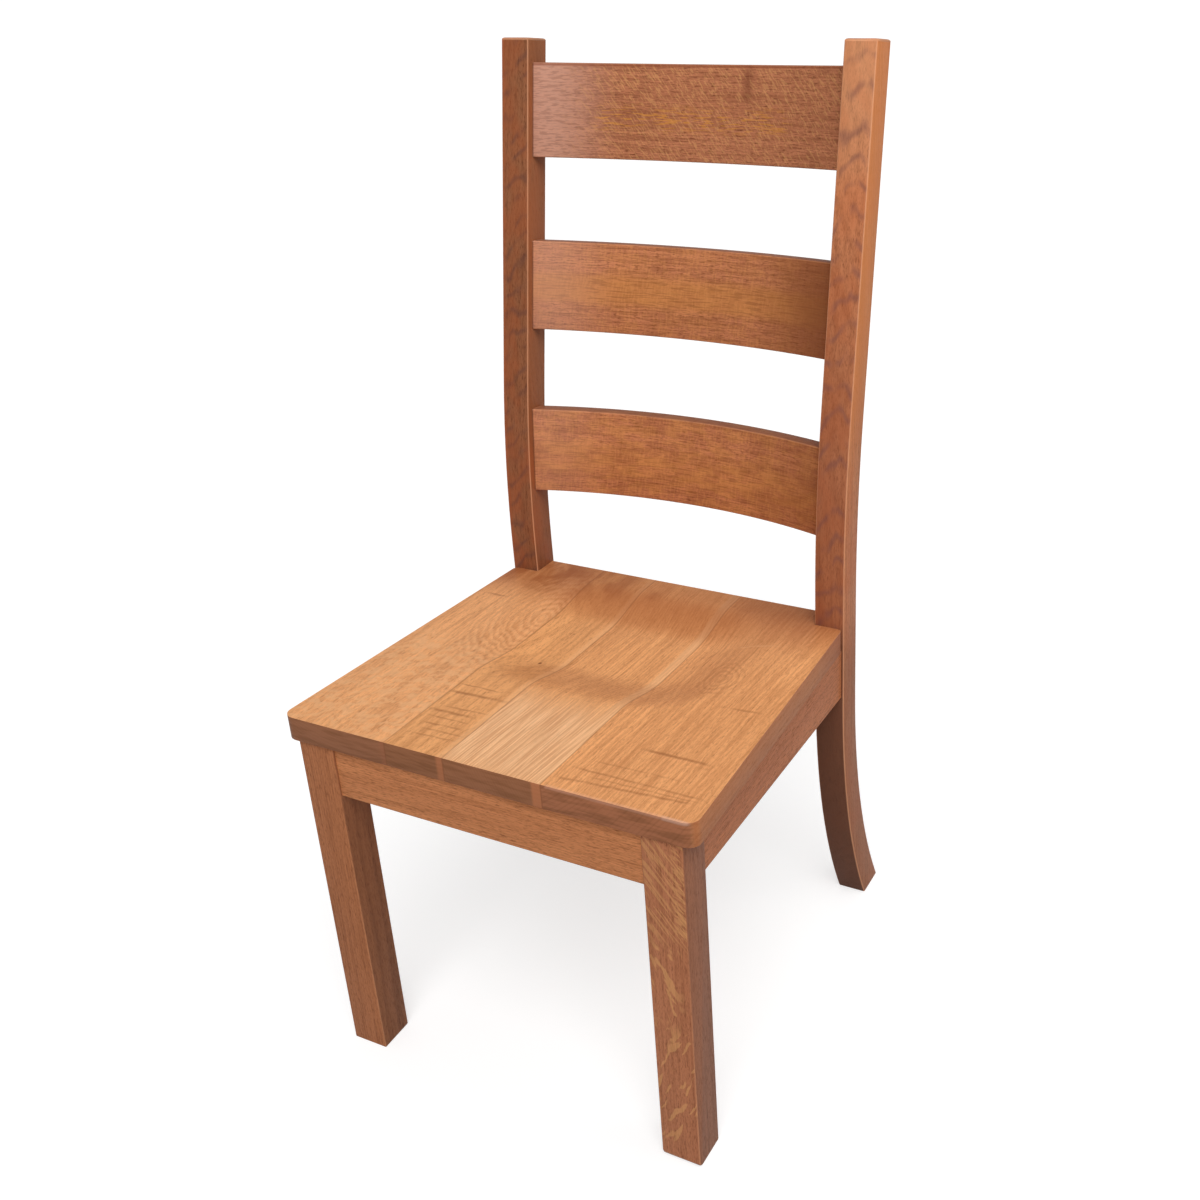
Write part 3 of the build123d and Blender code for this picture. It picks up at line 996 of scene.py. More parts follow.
@dataclass
class BackPost:
    """A sawn back post: sabre leg, plumb stretch beside the seat and raked upright."""

    side: Side
    rake: float = math.radians(10)
    sabre_radius: float = 0.730
    rake_radius: float = 1.250
    sabre_drop: float = 0.0115
    rake_rise: float = 0.030
    rake_steps: int = 8
    sabre_steps: int = 16
    sabre_overrun: float = math.radians(31)
    eased: float = 0.0016
    top_eased: float = 0.0032

    @property
    def middle(self) -> float:
        """Distance of the post's middle from the middle of the chair."""
        return self.side.value * (SIZES.back_width - SIZES.post_thickness) / 2

    @property
    def sabre_start(self) -> float:
        """Height where the sabre bend starts."""
        return SIZES.apron_bottom - SIZES.fall * SIZES.base_depth - self.sabre_drop

    @property
    def rake_start(self) -> float:
        """Height where the rake bend starts."""
        return SIZES.seat_height - SIZES.fall * SIZES.base_depth + self.rake_rise

    def front_at(self, height: float) -> tuple[float, float]:
        """The depth of the front face and the lean of the post above the rake bend's start.

        Args:
            height: Height above the floor.

        Returns:
            Depth in the drawing, and lean in radians.
        """
        radius = self.rake_radius + SIZES.post_depth / 2
        centre = SIZES.base_depth + radius
        bend_end = self.rake_start + radius * math.sin(self.rake)
        if height >= bend_end:
            straight = (height - bend_end) * math.tan(self.rake)
            return centre - radius * math.cos(self.rake) + straight, self.rake
        lean = math.asin((height - self.rake_start) / radius)
        return centre - radius * math.cos(lean), lean

    def build(self) -> bpy.types.Object:
        """Shapes the post from its plumb stretch up and down.

        Returns:
            The finished post.
        """
        half = SIZES.post_thickness / 2
        middle = SIZES.post_middle
        piece = Workpiece(
            f"post_{self.side.word}",
            (self.middle - half, SIZES.base_depth, self.sabre_start),
            (self.middle + half, SIZES.base_depth + SIZES.post_depth, self.rake_start),
        )
        rake_centre = (self.middle, middle + self.rake_radius, self.rake_start)
        sabre_centre = (self.middle, middle + self.sabre_radius, self.sabre_start)
        piece.pick(Part.FACE, lambda face: face.normal.z > FACING)
        piece.sweep(self.rake_steps, self.rake, rake_centre, (1, 0, 0))
        bend_top = self.rake_start + (self.rake_radius + SIZES.post_depth / 2) * math.sin(self.rake)
        rest = (SIZES.chair_height - bend_top) / math.cos(self.rake)
        piece.pull(y=rest * math.sin(self.rake), z=rest * math.cos(self.rake))
        piece.pick(Part.FACE, lambda face: face.normal.z < -FACING)
        piece.sweep(self.sabre_steps, -self.sabre_overrun, sabre_centre, (1, 0, 0))
        piece.cut((0, 0, 0), (0, 0, -1))
        high = SIZES.chair_height - SIZES.post_depth
        piece.pick(Part.EDGE, lambda edge: sharp(edge) and all(end.co.z > high for end in edge.verts))
        piece.ease(self.top_eased)
        piece.pick(Part.EDGE, lambda edge: sharp(edge) and any(end.co.z < high for end in edge.verts))
        piece.ease(self.eased)
        return piece.settle(self.finish(), f"back_post_{self.side.word}")

    def finish(self) -> OakFinish:
        """Oak with greyish feathered strokes over orange wood, and painted shade below the seat.

        Returns:
            The post's finish.
        """
        right = self.side is Side.RIGHT
        outer = self.middle - SIZES.post_thickness / 2
        face = Window(z=(0.40, 1.09), soft=0.02, face=Grain.BACK)
        # Painted shade below the seat, on the front faces and the sides.
        under = (
            Tint(shown(92, 62, 48), 0.75, Window(z=(-0.1, 0.43), soft=0.03, face=Grain.BACK, sign=-1)),
            Tint(shown(122, 82, 60), 0.40, Window(z=(-0.1, 0.42), soft=0.05, face=Grain.ACROSS)),
        )
        if right:
            plain = shown(198, 126, 86)
            marks = (
                Tint(shown(196, 106, 62), 0.35, clouds=17),
                # Painted light on the right post: its front is shaded lower down and lightened near the top,
                # and its sides are lit up high.
                Tint(shown(132, 76, 54), 0.55, Window(z=(-0.3, 0.78), soft=0.25, face=Grain.BACK)),
                Tint(shown(222, 136, 72), 0.60, Window(z=(0.66, 1.2), soft=0.12, face=Grain.ACROSS)),
                Tint(shown(232, 168, 122), 0.40, Window(z=(0.97, 1.2), soft=0.10, face=Grain.BACK)),
                Chevrons(shown(120, 78, 74), 0.80, 0.030, 0.80, self.middle + 0.008, face),
                *under,
            )
        else:
            plain = shown(150, 95, 64)
            marks = (
                Tint(shown(166, 88, 52), 0.45, clouds=17),
                # The sides above the seat are lighter: partly the side grain's own orange, partly painted
                # light.
                Tint(shown(178, 108, 66), 0.35, Window(z=(0.46, 1.2), soft=0.05, face=Grain.ACROSS)),
                Chevrons(shown(100, 66, 58), 0.75, 0.026, 0.70, self.middle + 0.03, face),
                Tint(shown(176, 92, 54), 0.5, Window(x=(outer - 0.01, outer + 0.004), soft=0.003)),
                *under,
            )
        return OakFinish(
            name=f"oak_post_{self.side.word}",
            slot="oak_frame",
            grain=Grain.UP,
            middle=(self.middle, SIZES.post_middle),
            tones=Tones(plain),
            pith=(0.10, 0.32) if right else (-0.25, 0.20),
            ring=0.0062,
            ring_strength=0.35,
            seed=3.1 if right else 8.4,
            marks=marks,
            arris_strength=0.5,
        )


@dataclass
class FrontLeg:
    """A square front leg, cut to the seat's slope on top. The right one's foot is worn round."""

    side: Side
    eased: float = 0.0016
    worn: float = 0.007

    def build(self) -> bpy.types.Object:
        """Shapes the leg.

        Returns:
            The finished leg.
        """
        inner, outer = SIZES.leg_inner, SIZES.front_width / 2
        low, high = sorted((self.side.value * inner, self.side.value * outer))
        piece = Workpiece(
            f"leg_{self.side.word}", (low, 0, 0), (high, SIZES.leg_side, SIZES.underside)
        )
        piece.pick(Part.CORNER, lambda corner: corner.co.y > NEAR and corner.co.z > NEAR)
        piece.slide(z=-SIZES.fall * SIZES.leg_side)

        def treads(edge: bmesh.types.BMEdge) -> bool:
            """Whether an edge is the foot's front or inner one.

            Args:
                edge: An edge of the leg.

            Returns:
                True for those two edges.
            """
            ends = [end.co for end in edge.verts]
            front, inside = all(end.y < NEAR for end in ends), all(end.x < low + NEAR for end in ends)
            return all(end.z < NEAR for end in ends) and (front or inside)

        if self.side is Side.RIGHT:
            piece.pick(Part.EDGE, treads)
            piece.ease(self.worn, 4)
        foot = 2 * self.worn
        piece.pick(Part.EDGE, lambda edge: sharp(edge) and min(end.co.z for end in edge.verts) < foot)
        piece.ease(self.eased)
        return piece.settle(self.finish(), f"front_leg_{self.side.word}")

    def finish(self) -> OakFinish:
        """Oak with ray figure on the right leg's face, fine upright lines on the left's, and painted shade
        on the sides.

        Returns:
            The leg's finish.
        """
        right = self.side is Side.RIGHT
        inner, outer = SIZES.leg_inner, SIZES.front_width / 2
        upper = Window(z=(0.305, 0.44), soft=0.02, face=Grain.BACK)
        corner = Window(x=(outer - 0.013, outer), z=(0.315, 0.44), soft=0.003, face=Grain.BACK)
        flakes = Window(x=(inner, outer - 0.012), z=(0.20, 0.30), soft=0.010, face=Grain.BACK)
        lower = Window(z=(0.025, 0.19), soft=0.015, face=Grain.BACK)
        figure = (
            Streaks(RAY, 0.40, 22, 340, math.radians(-38), upper, 0.52, waver=0.001),
            Streaks(RAY, 0.36, 60, 330, math.radians(-60), corner, 0.50, waver=0.002),
            Streaks(RAY, 0.46, 30, 165, math.radians(28), lower, 0.57, 0.06, 0.016),
            Streaks(RAY, 0.50, 46, 130, math.radians(-30), flakes, 0.56, 0.08, 0.014),
            # Painted shade on the side faces.
            Tint(shown(112, 78, 62), 0.32, Window(face=Grain.ACROSS)),
        )
        return OakFinish(
            name=f"oak_leg_{self.side.word}",
            slot="oak_frame",
            grain=Grain.UP,
            middle=(self.side.value * (inner + outer) / 2, SIZES.leg_side / 2),
            tones=Tones(shown(189, 121, 85) if right else shown(184, 117, 77)),
            pith=(0.02, 0.35) if right else (0.35, 0.05),
            ring=0.0035,
            ring_strength=0.30 if right else 0.5,
            seed=5.7 if right else 1.9,
            # The left leg gets painted shade on its sides.
            marks=figure if right else (Tint(shown(104, 76, 60), 0.3, Window(face=Grain.ACROSS)),),
            arris_strength=0.3,
        )


class ApronPlace(Enum):
    """The four rails of the seat frame."""

    FRONT = "front_apron"
    BACK = "back_apron"
    LEFT = "side_apron_left"
    RIGHT = "side_apron_right"


@dataclass
class Apron:
    """One rail of the seat frame, with the long arrises of its lower edge eased."""

    place: ApronPlace
    eased: float = 0.002

    def block(self) -> tuple[Vector, Vector]:
        """The box that the rail starts from.

        Returns:
            Lowest and highest corner.
        """
        thick = SIZES.apron_thickness
        if self.place in (ApronPlace.FRONT, ApronPlace.BACK):
            front = self.place is ApronPlace.FRONT
            reach = SIZES.leg_inner if front else SIZES.post_inner
            near = SIZES.apron_inset if front else SIZES.post_middle - thick / 2
            low, high = (-reach, near), (reach, near + thick)
        else:
            outer = SIZES.front_width / 2 - SIZES.apron_inset
            inside = (outer - thick, outer) if self.place is ApronPlace.RIGHT else (-outer, thick - outer)
            low, high = (inside[0], SIZES.leg_side), (inside[1], SIZES.base_depth)
        drop = SIZES.fall * low[1]
        return Vector((*low, SIZES.apron_bottom - drop)), Vector((*high, SIZES.underside - drop))

    def build(self) -> bpy.types.Object:
        """Shapes the rail.

        Returns:
            The finished rail.
        """
        low, high = self.block()
        piece = Workpiece(self.place.value.replace("apron", "rail"), low, high)
        taper = (SIZES.front_width - SIZES.back_width) / 2
        inward = {ApronPlace.LEFT: taper, ApronPlace.RIGHT: -taper}.get(self.place, 0.0)
        piece.pick(Part.CORNER, lambda corner: corner.co.y > high.y - NEAR)
        piece.slide(x=inward, z=-SIZES.fall * (high.y - low.y))
        lengthwise = 0 if inward == 0.0 else 1
        limit = (low.z + high.z) / 2 - SIZES.fall * (high.y - low.y) / 2

        def lower_arris(edge: bmesh.types.BMEdge) -> bool:
            """Whether an edge is one of the two long lower arrises."""
            middle = sum(end.co.z for end in edge.verts) / 2
            return run(edge).normalized()[lengthwise] > FACING and middle < limit

        piece.pick(Part.EDGE, lower_arris)
        piece.ease(self.eased)
        return piece.settle(self.finish(low, high), self.place.value)

    def finish(self, low: Vector, high: Vector) -> OakFinish:
        """Oak with plain lengthwise lines.

        Args:
            low: Lowest corner of the rail's block.
            high: Highest corner of the rail's block.

        Returns:
            The rail's finish.
        """
        centre = (low + high) / 2
        across = self.place in (ApronPlace.FRONT, ApronPlace.BACK)
        return OakFinish(
            name=f"oak_{self.place.value}",
            slot="oak_frame",
            grain=Grain.ACROSS if across else Grain.BACK,
            middle=(centre.y if across else centre.x, centre.z),
            tones=Tones(shown(210, 136, 88) if across else shown(204, 124, 78)),
            pith=(0.08, 0.35),
            ring=0.0030,
            ring_strength=0.35,
            seed=2.3 + 3.0 * list(ApronPlace).index(self.place),
            arris_strength=0.3,
        )


class SlatPlace(Enum):
    """The three slats of the back."""

    TOP = "top_slat"
    MIDDLE = "middle_slat"
    LOWER = "lower_slat"


@dataclass
class BackSlat:
    """A slat bent back between the posts."""

    place: SlatPlace
    post: BackPost
    height: float = 0.105
    thickness: float = 0.020
    bow: float = 0.035
    top_margin: float = 0.026
    low_gap: float = 0.110
    middle_lift: float = 0.002
    eased: float = 0.0016
    end_eased: float = 0.0009
    steps: int = 24
    overrun: float = math.radians(2)

    @property
    def radius(self) -> float:
        """Radius of the front face's bend."""
        return (SIZES.post_inner**2 + self.bow**2) / (2 * self.bow)

    @property
    def level(self) -> float:
        """Height of the slat's middle at the posts' front faces.

        Returns:
            Height above the floor.
        """
        low = SIZES.seat_height - SIZES.fall * SIZES.base_depth + self.low_gap + self.height / 2
        high = SIZES.chair_height - self.top_margin - self.height / 2 * math.cos(self.post.rake)
        middle = (low + high) / 2 + self.middle_lift
        return {SlatPlace.TOP: high, SlatPlace.MIDDLE: middle, SlatPlace.LOWER: low}[self.place]

    def build(self) -> bpy.types.Object:
        """Bends the slat out from its middle to both posts.

        Returns:
            The finished slat.
        """
        reach = SIZES.post_inner
        radius = self.radius
        depth, lean = self.post.front_at(self.level)
        set_back = (SIZES.post_depth - self.thickness) / 2
        front = set_back + self.bow
        hair = NEAR / 4
        piece = Workpiece(
            self.place.value.replace("_slat", "_rung"),
            (-hair, front, -self.height / 2),
            (hair, front + self.thickness, self.height / 2),
        )
        turn = math.asin(reach / radius) + self.overrun
        for hand in (1, -1):
            piece.pick(Part.FACE, lambda face: face.normal.x * hand > FACING)
            piece.sweep(self.steps, -hand * turn, (0, front - radius, 0), (0, 0, 1))
        bpy.ops.mesh.select_all(action="SELECT")
        bpy.ops.mesh.remove_doubles(threshold=NEAR)
        piece.pick(Part.EDGE, lambda edge: sharp(edge) and run(edge).z < NEAR < run(edge).x)
        piece.ease(self.eased)
        for hand in (1, -1):
            piece.cut((hand * reach, 0, 0), (hand, 0, 0))
        inside = set_back + self.thickness / 2

        def front_end(edge: bmesh.types.BMEdge) -> bool:
            """Whether an edge is the upright front one at either end.

            Args:
                edge: An edge of the slat.

            Returns:
                True for those two edges.
            """
            ends = [end.co for end in edge.verts]
            at_end = all(abs(end.x) > reach - NEAR and end.y < inside for end in ends)
            return at_end and run(edge).z > self.height / 2

        piece.pick(Part.EDGE, front_end)
        piece.ease(self.end_eased, 2)
        piece.clean()
        self.straighten(piece, front - radius, radius)
        tilt = Matrix.Rotation(-lean, 4, "X")
        piece.obj.data.transform(Matrix.Translation((0, depth, self.level)) @ tilt)
        return piece.settle(self.finish(), self.place.value)

    def straighten(self, piece: Workpiece, centre: float, radius: float) -> None:
        """Stores each point's place in the slat before it was bent, for the grain.

        Args:
            piece: The bent slat, before it leans.
            centre: Depth of the bend's axis.
            radius: Radius of the front face.
        """
        bpy.ops.object.mode_set(mode="OBJECT")
        mesh = piece.obj.data
        straight = mesh.attributes.new("straight", "FLOAT_VECTOR", "POINT")
        for entry, corner in zip(straight.data, mesh.vertices):
            x, y, z = corner.co
            entry.vector = (radius * math.atan2(x, y - centre), math.hypot(x, y - centre) - radius, z)

    def figure(self) -> tuple[Mark, ...]:
        """The marks that set this slat apart.

        Returns:
            Marks from the lowest layer up.
        """
        if self.place is SlatPlace.TOP:
            half = self.height / 2
            dashes = Window(x=(-0.21, -0.04), soft=0.03)
            flecks = Window(x=(-0.13, 0.21), soft=0.05)
            golden = Window(x=(-0.12, 0.12), z=(-0.018, 0.004), soft=0.010)
            return (
                Streaks(shown(104, 60, 42), 0.26, 95, 560, 0.0, dashes, 0.51),
                Streaks(shown(120, 68, 46), 0.22, 36, 560, 0.0, flecks, 0.51, waver=0.001),
                Streaks(RAY, 0.20, 110, 560, math.radians(-62), flecks, 0.56, waver=0.006),
                Streaks(RAY, 0.32, 92, 500, math.radians(-48), flecks, 0.56, 0.08, 0.003),
                Streaks(shown(224, 152, 62), 0.50, 62, 520, 0.0, golden, 0.53, waver=0.002),
                Tint(shown(108, 54, 36), 0.5, Window(x=(0.062, 0.072), z=(0.014, 0.048))),
                # Painted shade along the top edge.
                Tint(shown(136, 70, 46), 0.6, Window(z=(half - 0.0035, half + 0.01), soft=0.001)),
            )
        patchy = 0.15 if self.place is SlatPlace.MIDDLE else 0.32
        mottle = (
            Tint(shown(216, 148, 80), patchy, clouds=38),
            Tint(shown(136, 76, 46), patchy * 0.8, clouds=26),
            Streaks(shown(224, 152, 92), 0.22, 70, 380, math.radians(84), floor=0.50, fade=0.10),
            Streaks(shown(120, 68, 40), 0.30, 40, 520, 0.0, floor=0.52, fade=0.10, waver=0.001),
        )
        if self.place is SlatPlace.MIDDLE:
            return (Tint(shown(206, 136, 74), 0.6, Window(z=(-0.0185, 0.0155), soft=0.007)), *mottle)
        return (Tint(shown(200, 130, 72), 0.4, Window(z=(-0.030, 0.010), soft=0.012)), *mottle)

    def finish(self) -> OakFinish:
        """Oak with fine lengthwise lines, a dark joint at each post, and painted sheen and shade.

        Returns:
            The slat's finish.
        """
        end = self.radius * math.asin(SIZES.post_inner / self.radius)
        veil = {SlatPlace.TOP: 0.60, SlatPlace.MIDDLE: 0.30, SlatPlace.LOWER: 0.16}[self.place]
        sheen = Tint(shown(216, 168, 148), veil, Window(x=(-end - 0.1, -0.13), soft=0.05))
        shadow = {SlatPlace.TOP: 0.05, SlatPlace.MIDDLE: 0.80, SlatPlace.LOWER: 0.40}[self.place]
        shade = Tint(shown(132, 74, 42), shadow, Window(x=(0.13, end + 0.1), soft=0.06))
        # Painted shade on the slats' top faces.
        upper = Tint(shown(116, 64, 42), 0.6, Window(face=Grain.UP))
        marks = (sheen, *self.figure()) if self.place is SlatPlace.TOP else (*self.figure(), sheen)
        joints = (
            Tint(JOINT, 0.7, Window(x=(end - 0.0012, end + 0.01), soft=0.0005)),
            Tint(JOINT, 0.7, Window(x=(-end - 0.01, 0.0012 - end), soft=0.0005)),
        )
        return OakFinish(
            name=f"oak_{self.place.value}",
            slot="oak_slat",
            grain=Grain.ACROSS,
            middle=(0.0, 0.0),
            tones=Tones(shown(190, 121, 86) if self.place is SlatPlace.TOP else shown(196, 124, 85)),
            pith=(0.10, 0.40),
            ring=0.0032,
            ring_strength=0.35,
            seed=1.3 + 2.9 * list(SlatPlace).index(self.place),
            bent=True,
            marks=(*marks, shade, upper, *joints),
            pore_strength=1.02,
            streak=0.55,
            arris_strength=0.2,
        )


@dataclass
class PlankSeat:
    """A seat of edge-glued boards, scooped out in its rear half."""

    front_overhang: float = 0.003
    side_overhang_front: float = 0.016
    side_inset_back: float = 0.002
    tongue: float = 0.036
    front_corner: float = 0.015
    back_corner: float = 0.006
    top_rounding: float = 0.005
    bottom_rounding: float = 0.003
    clearance: float = 0.0003
    seams: tuple[float, float, float] = (-0.112, -0.038, 0.080)
    dish_width: float = 0.337
    dish_length: float = 0.282
    dish_corner: float = 0.105
    dish_flat: float = 0.012
    dish_depth: float = 0.014
    dish_back_land: float = 0.028
    grid: float = 0.005
    corner_steps: int = 8

    @property
    def back(self) -> float:
        """Depth of the seat's back edge."""
        return SIZES.base_depth + self.tongue

    @property
    def dish_middle(self) -> float:
        """Depth of the middle of the dish."""
        return self.back - self.dish_back_land - self.dish_length / 2

    def build(self) -> None:
        """Shapes the seat whole, then parts it into boards."""
        whole = self.plate()
        self.round_edges(whole)
        self.scoop(whole)
        limits = (-1.0, *self.seams, 1.0)
        for number, (left, right) in enumerate(zip(limits, limits[1:]), 1):
            board = whole.copy(f"plank_{number}")
            board.cut((left, 0, 0), (-1, 0, 0))
            board.cut((right, 0, 0), (1, 0, 0))
            board.clean()
            board.settle(self.finish(number, left, right), f"seat_board_{number}")
        bpy.data.objects.remove(whole.obj)

    def plate(self) -> Workpiece:
        """The tapered, sloping plate with its round corners and the tongue between the posts.

        Returns:
            The plate, on the bench.
        """
        front = -self.front_overhang
        back = SIZES.base_depth - self.clearance
        wide = SIZES.front_width / 2 + self.side_overhang_front
        narrow = SIZES.back_width / 2 - self.side_inset_back
        lift = SIZES.fall * self.front_overhang
        piece = Workpiece(
            "plank_whole", (-wide, front, SIZES.underside + lift), (wide, back, SIZES.seat_height + lift)
        )
        piece.pick(Part.CORNER, lambda corner: corner.co.y > back - NEAR)
        bpy.ops.transform.resize(value=(narrow / wide, 1, 1))
        piece.slide(z=-SIZES.fall * (back - front))
        for radius, at_back in ((self.front_corner, False), (self.back_corner, True)):
            piece.pick(
                Part.EDGE,
                lambda edge: run(edge).z > SIZES.seat_thickness / 2
                and (edge.verts[0].co.y > back - NEAR) == at_back
                and run(edge).xy.length < NEAR,
            )
            bpy.ops.mesh.bevel(offset=radius, segments=self.corner_steps, affect="EDGES")
        side = SIZES.post_inner - self.clearance
        for hand in (1, -1):
            piece.cut((hand * side, 0, 0), (hand, 0, 0), keep_all=True)
        piece.pick(
            Part.FACE, lambda face: face.normal.y > FACING and abs(face.calc_center_median().x) < side
        )
        reach = self.back - back
        piece.pull(y=reach, z=-SIZES.fall * reach)
        return piece

    def round_edges(self, piece: Workpiece) -> None:
        """Eases the outline above and below, but not where the seat meets the posts.

        Args:
            piece: The plate.
        """
        back = SIZES.base_depth - self.clearance
        side = SIZES.post_inner - self.clearance

        def outline(edge: bmesh.types.BMEdge, up: float) -> bool:
            """Whether an edge runs round the top or the underside.

            Args:
                edge: An edge of the plate.
                up: 1 for the top, -1 for the underside.

            Returns:
                True for an edge of that outline away from the posts.
            """
            flat = [face.normal.z * up > FACING for face in edge.link_faces]
            middle = (edge.verts[0].co + edge.verts[1].co) / 2
            at_post = middle.y > back - NEAR and abs(middle.x) > side - NEAR
            return len(flat) == 2 and flat[0] != flat[1] and not at_post

        for up, radius, segments in ((1, self.top_rounding, 5), (-1, self.bottom_rounding, 3)):
            piece.pick(Part.EDGE, lambda edge: outline(edge, up))
            piece.ease(radius, segments)

    def scoop_depth(self, x: float, y: float) -> float:
        """How deep the dish is at a place.

        Args:
            x: Distance from the middle of the chair.
            y: Depth in the drawing.

        Returns:
            The depth, 0 outside the dish.
        """
        aside = max(abs(x) - (self.dish_width / 2 - self.dish_corner), 0.0)
        behind = max(abs(y - self.dish_middle) - (self.dish_length / 2 - self.dish_corner), 0.0)
        share = (math.hypot(aside, behind) - self.dish_flat) / (self.dish_corner - self.dish_flat)
        share = min(max(share, 0.0), 1.0)
        return self.dish_depth * (1 - share * share * (3 - 2 * share))

    def scoop(self, piece: Workpiece) -> None:
        """Cuts a grid into the plate and sinks its top to the dish.

        Args:
            piece: The plate.
        """
        lengths = ((-self.dish_width / 2, self.dish_width, Vector((1, 0, 0))),
                   (self.dish_middle - self.dish_length / 2, self.dish_length, Vector((0, 1, 0))))
        for start, length, across in lengths:
            for step in range(int(length / self.grid) + 1):
                piece.cut(across * (start + step * self.grid), across, keep_all=True)
        mesh = piece.mesh()
        for corner in mesh.verts:
            top = SIZES.seat_height - SIZES.fall * corner.co.y
            if abs(corner.co.z - top) < NEAR:
                corner.co.z -= self.scoop_depth(corner.co.x, corner.co.y)
        mesh.normal_update()
        bmesh.update_edit_mesh(piece.obj.data)

    def finish(self, number: int, left: float, right: float) -> OakFinish:
        """The finish of one board.

        Args:
            number: The board's number from the left.
            left: Its left limit.
            right: Its right limit.

        Returns:
            The board's finish.
        """
        outline = SIZES.front_width / 2 + self.side_overhang_front
        centre = (max(left, -outline) + min(right, outline)) / 2
        plain = {1: (232, 166, 112), 2: (226, 161, 105), 3: (234, 167, 110), 4: (233, 165, 109)}[number]
        seams = tuple(
            Tint(shown(128, 76, 46), 0.4, Window(x=(seam - 0.0008, seam + 0.0008), soft=0.0004))
            for seam in (left, right)
        )
        # Painted shade on the dish walls by their lean and on the rear of the seat by the back; the last
        # tint is the boards' own darker side colour.
        walls = (
            SlopeShade(shown(170, 100, 54), 0.34, (-0.62, 0.78), 0.05, 0.24),
            SlopeShade(shown(170, 100, 54), 0.40, (0.0, -1.0), 0.0, 0.16),
            Tint(shown(162, 92, 52), 0.55, Window(y=(0.375, 0.50), soft=0.05)),
            Tint(shown(150, 82, 46), 0.60, Window(x=(-0.3, -0.06), y=(0.40, 0.50), soft=0.03), 20),
            Tint(shown(140, 76, 44), 0.45, Window(x=(0.08, 0.3), y=(0.42, 0.50), soft=0.03)),
            Tint(shown(150, 82, 40), 0.25, Window(x=(-0.3, -0.09), y=(0.40, 0.50), soft=0.04)),
            Tint(shown(168, 90, 54), 0.60, Window(face=Grain.ACROSS)),
        )
        return OakFinish(
            name=f"oak_plank_{number}",
            slot="oak_seat",
            grain=Grain.BACK,
            middle=(centre, SIZES.seat_height),
            tones=Tones(shown(*plain), end=(0.53, 0.43, 0.50) if number == 4 else (0.43, 0.37, 0.43)),
            pith={1: (0.02, 0.12), 2: (0.05, 0.20), 3: (0.40, 0.18), 4: (-0.35, 0.30)}[number],
            ring={1: 0.0040, 2: 0.0040, 3: 0.0033, 4: 0.0046}[number],
            ring_strength={1: 0.25, 2: 0.30, 3: 0.40, 4: 0.30}[number],
            wander=0.004 if number > 2 else 0.010,
            pore_strength=0.51,
            seed=1.7 + 4.1 * number,
            marks=(*self.figure(number), *walls, *seams),
            arris_strength=0.3,
        )

    def figure(self, number: int) -> tuple[Mark, ...]:
        """The marks that set one board apart.

        Args:
            number: The board's number from the left.

        Returns:
            Marks from the lowest layer up.
        """
        pale, dark = shown(232, 176, 126), shown(158, 98, 58)
        top, near = Window(face=Grain.UP), Window(y=(-0.02, 0.15), soft=0.04, face=Grain.UP)
        edge, crest = (-0.004, 0.0), (SIZES.seat_height - 0.003, SIZES.seat_height + 0.002)
        if number == 1:
            front = Window(y=(-0.01, 0.23), soft=0.03, face=Grain.UP)
            return (
                Streaks(pale, 0.60, 60, 150, math.radians(50), front, 0.48, 0.12, 0.04),
                Streaks(dark, 0.12, 50, 190, math.radians(50), front, 0.56, 0.12, 0.04),
                Swirl(pale, 0.28, -0.120, 0.325, 1.9, 0.013, 0.19),
                Swirl(dark, 0.20, -0.120, 0.3315, 1.9, 0.013, 0.19),
                Swirl(dark, 0.45, -0.165, 0.435, 1.8, 0.020, 0.07),
                SawCut((-0.213, -0.189), 0.352, strength=0.5),
                Tint(shown(170, 104, 72), 0.4, Window(x=(-0.118, -0.108), soft=0.003, face=Grain.BACK)),
            )
        if number == 2:
            return (
                SawCut((-0.109, -0.040), 0.122, 0.04, 0.0044, 0.60),
                SawCut((-0.109, -0.060), 0.139, 0.0, 0.0024, 0.45),
                SawCut((-0.108, -0.058), 0.079, 0.03, 0.0040, 0.55),
                SawCut((-0.094, -0.049), 0.090, 0.06, 0.0026, 0.50),
                SawCut((-0.100, -0.054), 0.066, 0.02, 0.0022, 0.40),
                SawCut((-0.098, -0.054), 0.052, 0.05, 0.0028, 0.50),
                SawCut((-0.090, -0.042), 0.041, 0.03, 0.0024, 0.40),
                SawCut((-0.096, -0.047), 0.029, 0.06, 0.0026, 0.40),
                Knot(-0.068, 0.236, 0.004),
                Tint(shown(244, 186, 134), 0.4, Window(x=(-0.045, -0.030), soft=0.002, face=Grain.UP)),
                Tint(shown(196, 122, 82), 0.55, Window(x=(-0.046, -0.030), soft=0.002, face=Grain.BACK)),
            )
        if number == 3:
            return (
                # Paler wood at the front of the board, with a painted sheen on it.
                Tint(shown(255, 212, 166), 0.52, Window(y=(-0.02, 0.145), soft=0.04, face=Grain.UP)),
                Tint(shown(246, 194, 144), 0.50, Window(x=(0.069, 0.090), soft=0.002, face=Grain.UP)),
                Streaks(shown(186, 118, 72), 0.42, 12, 420, 0.0, near, 0.46, 0.12, 0.0014),
                Streaks(shown(190, 124, 76), 0.22, 8, 400, 0.0, top, 0.46, 0.10, 0.001),
                Tint(shown(202, 126, 84), 0.65, Window(x=(0.069, 0.090), soft=0.002, face=Grain.BACK)),
                Tint(shown(140, 76, 44), 0.5, Window(x=(-0.028, -0.014), y=(0.418, 0.438), soft=0.007)),
            )
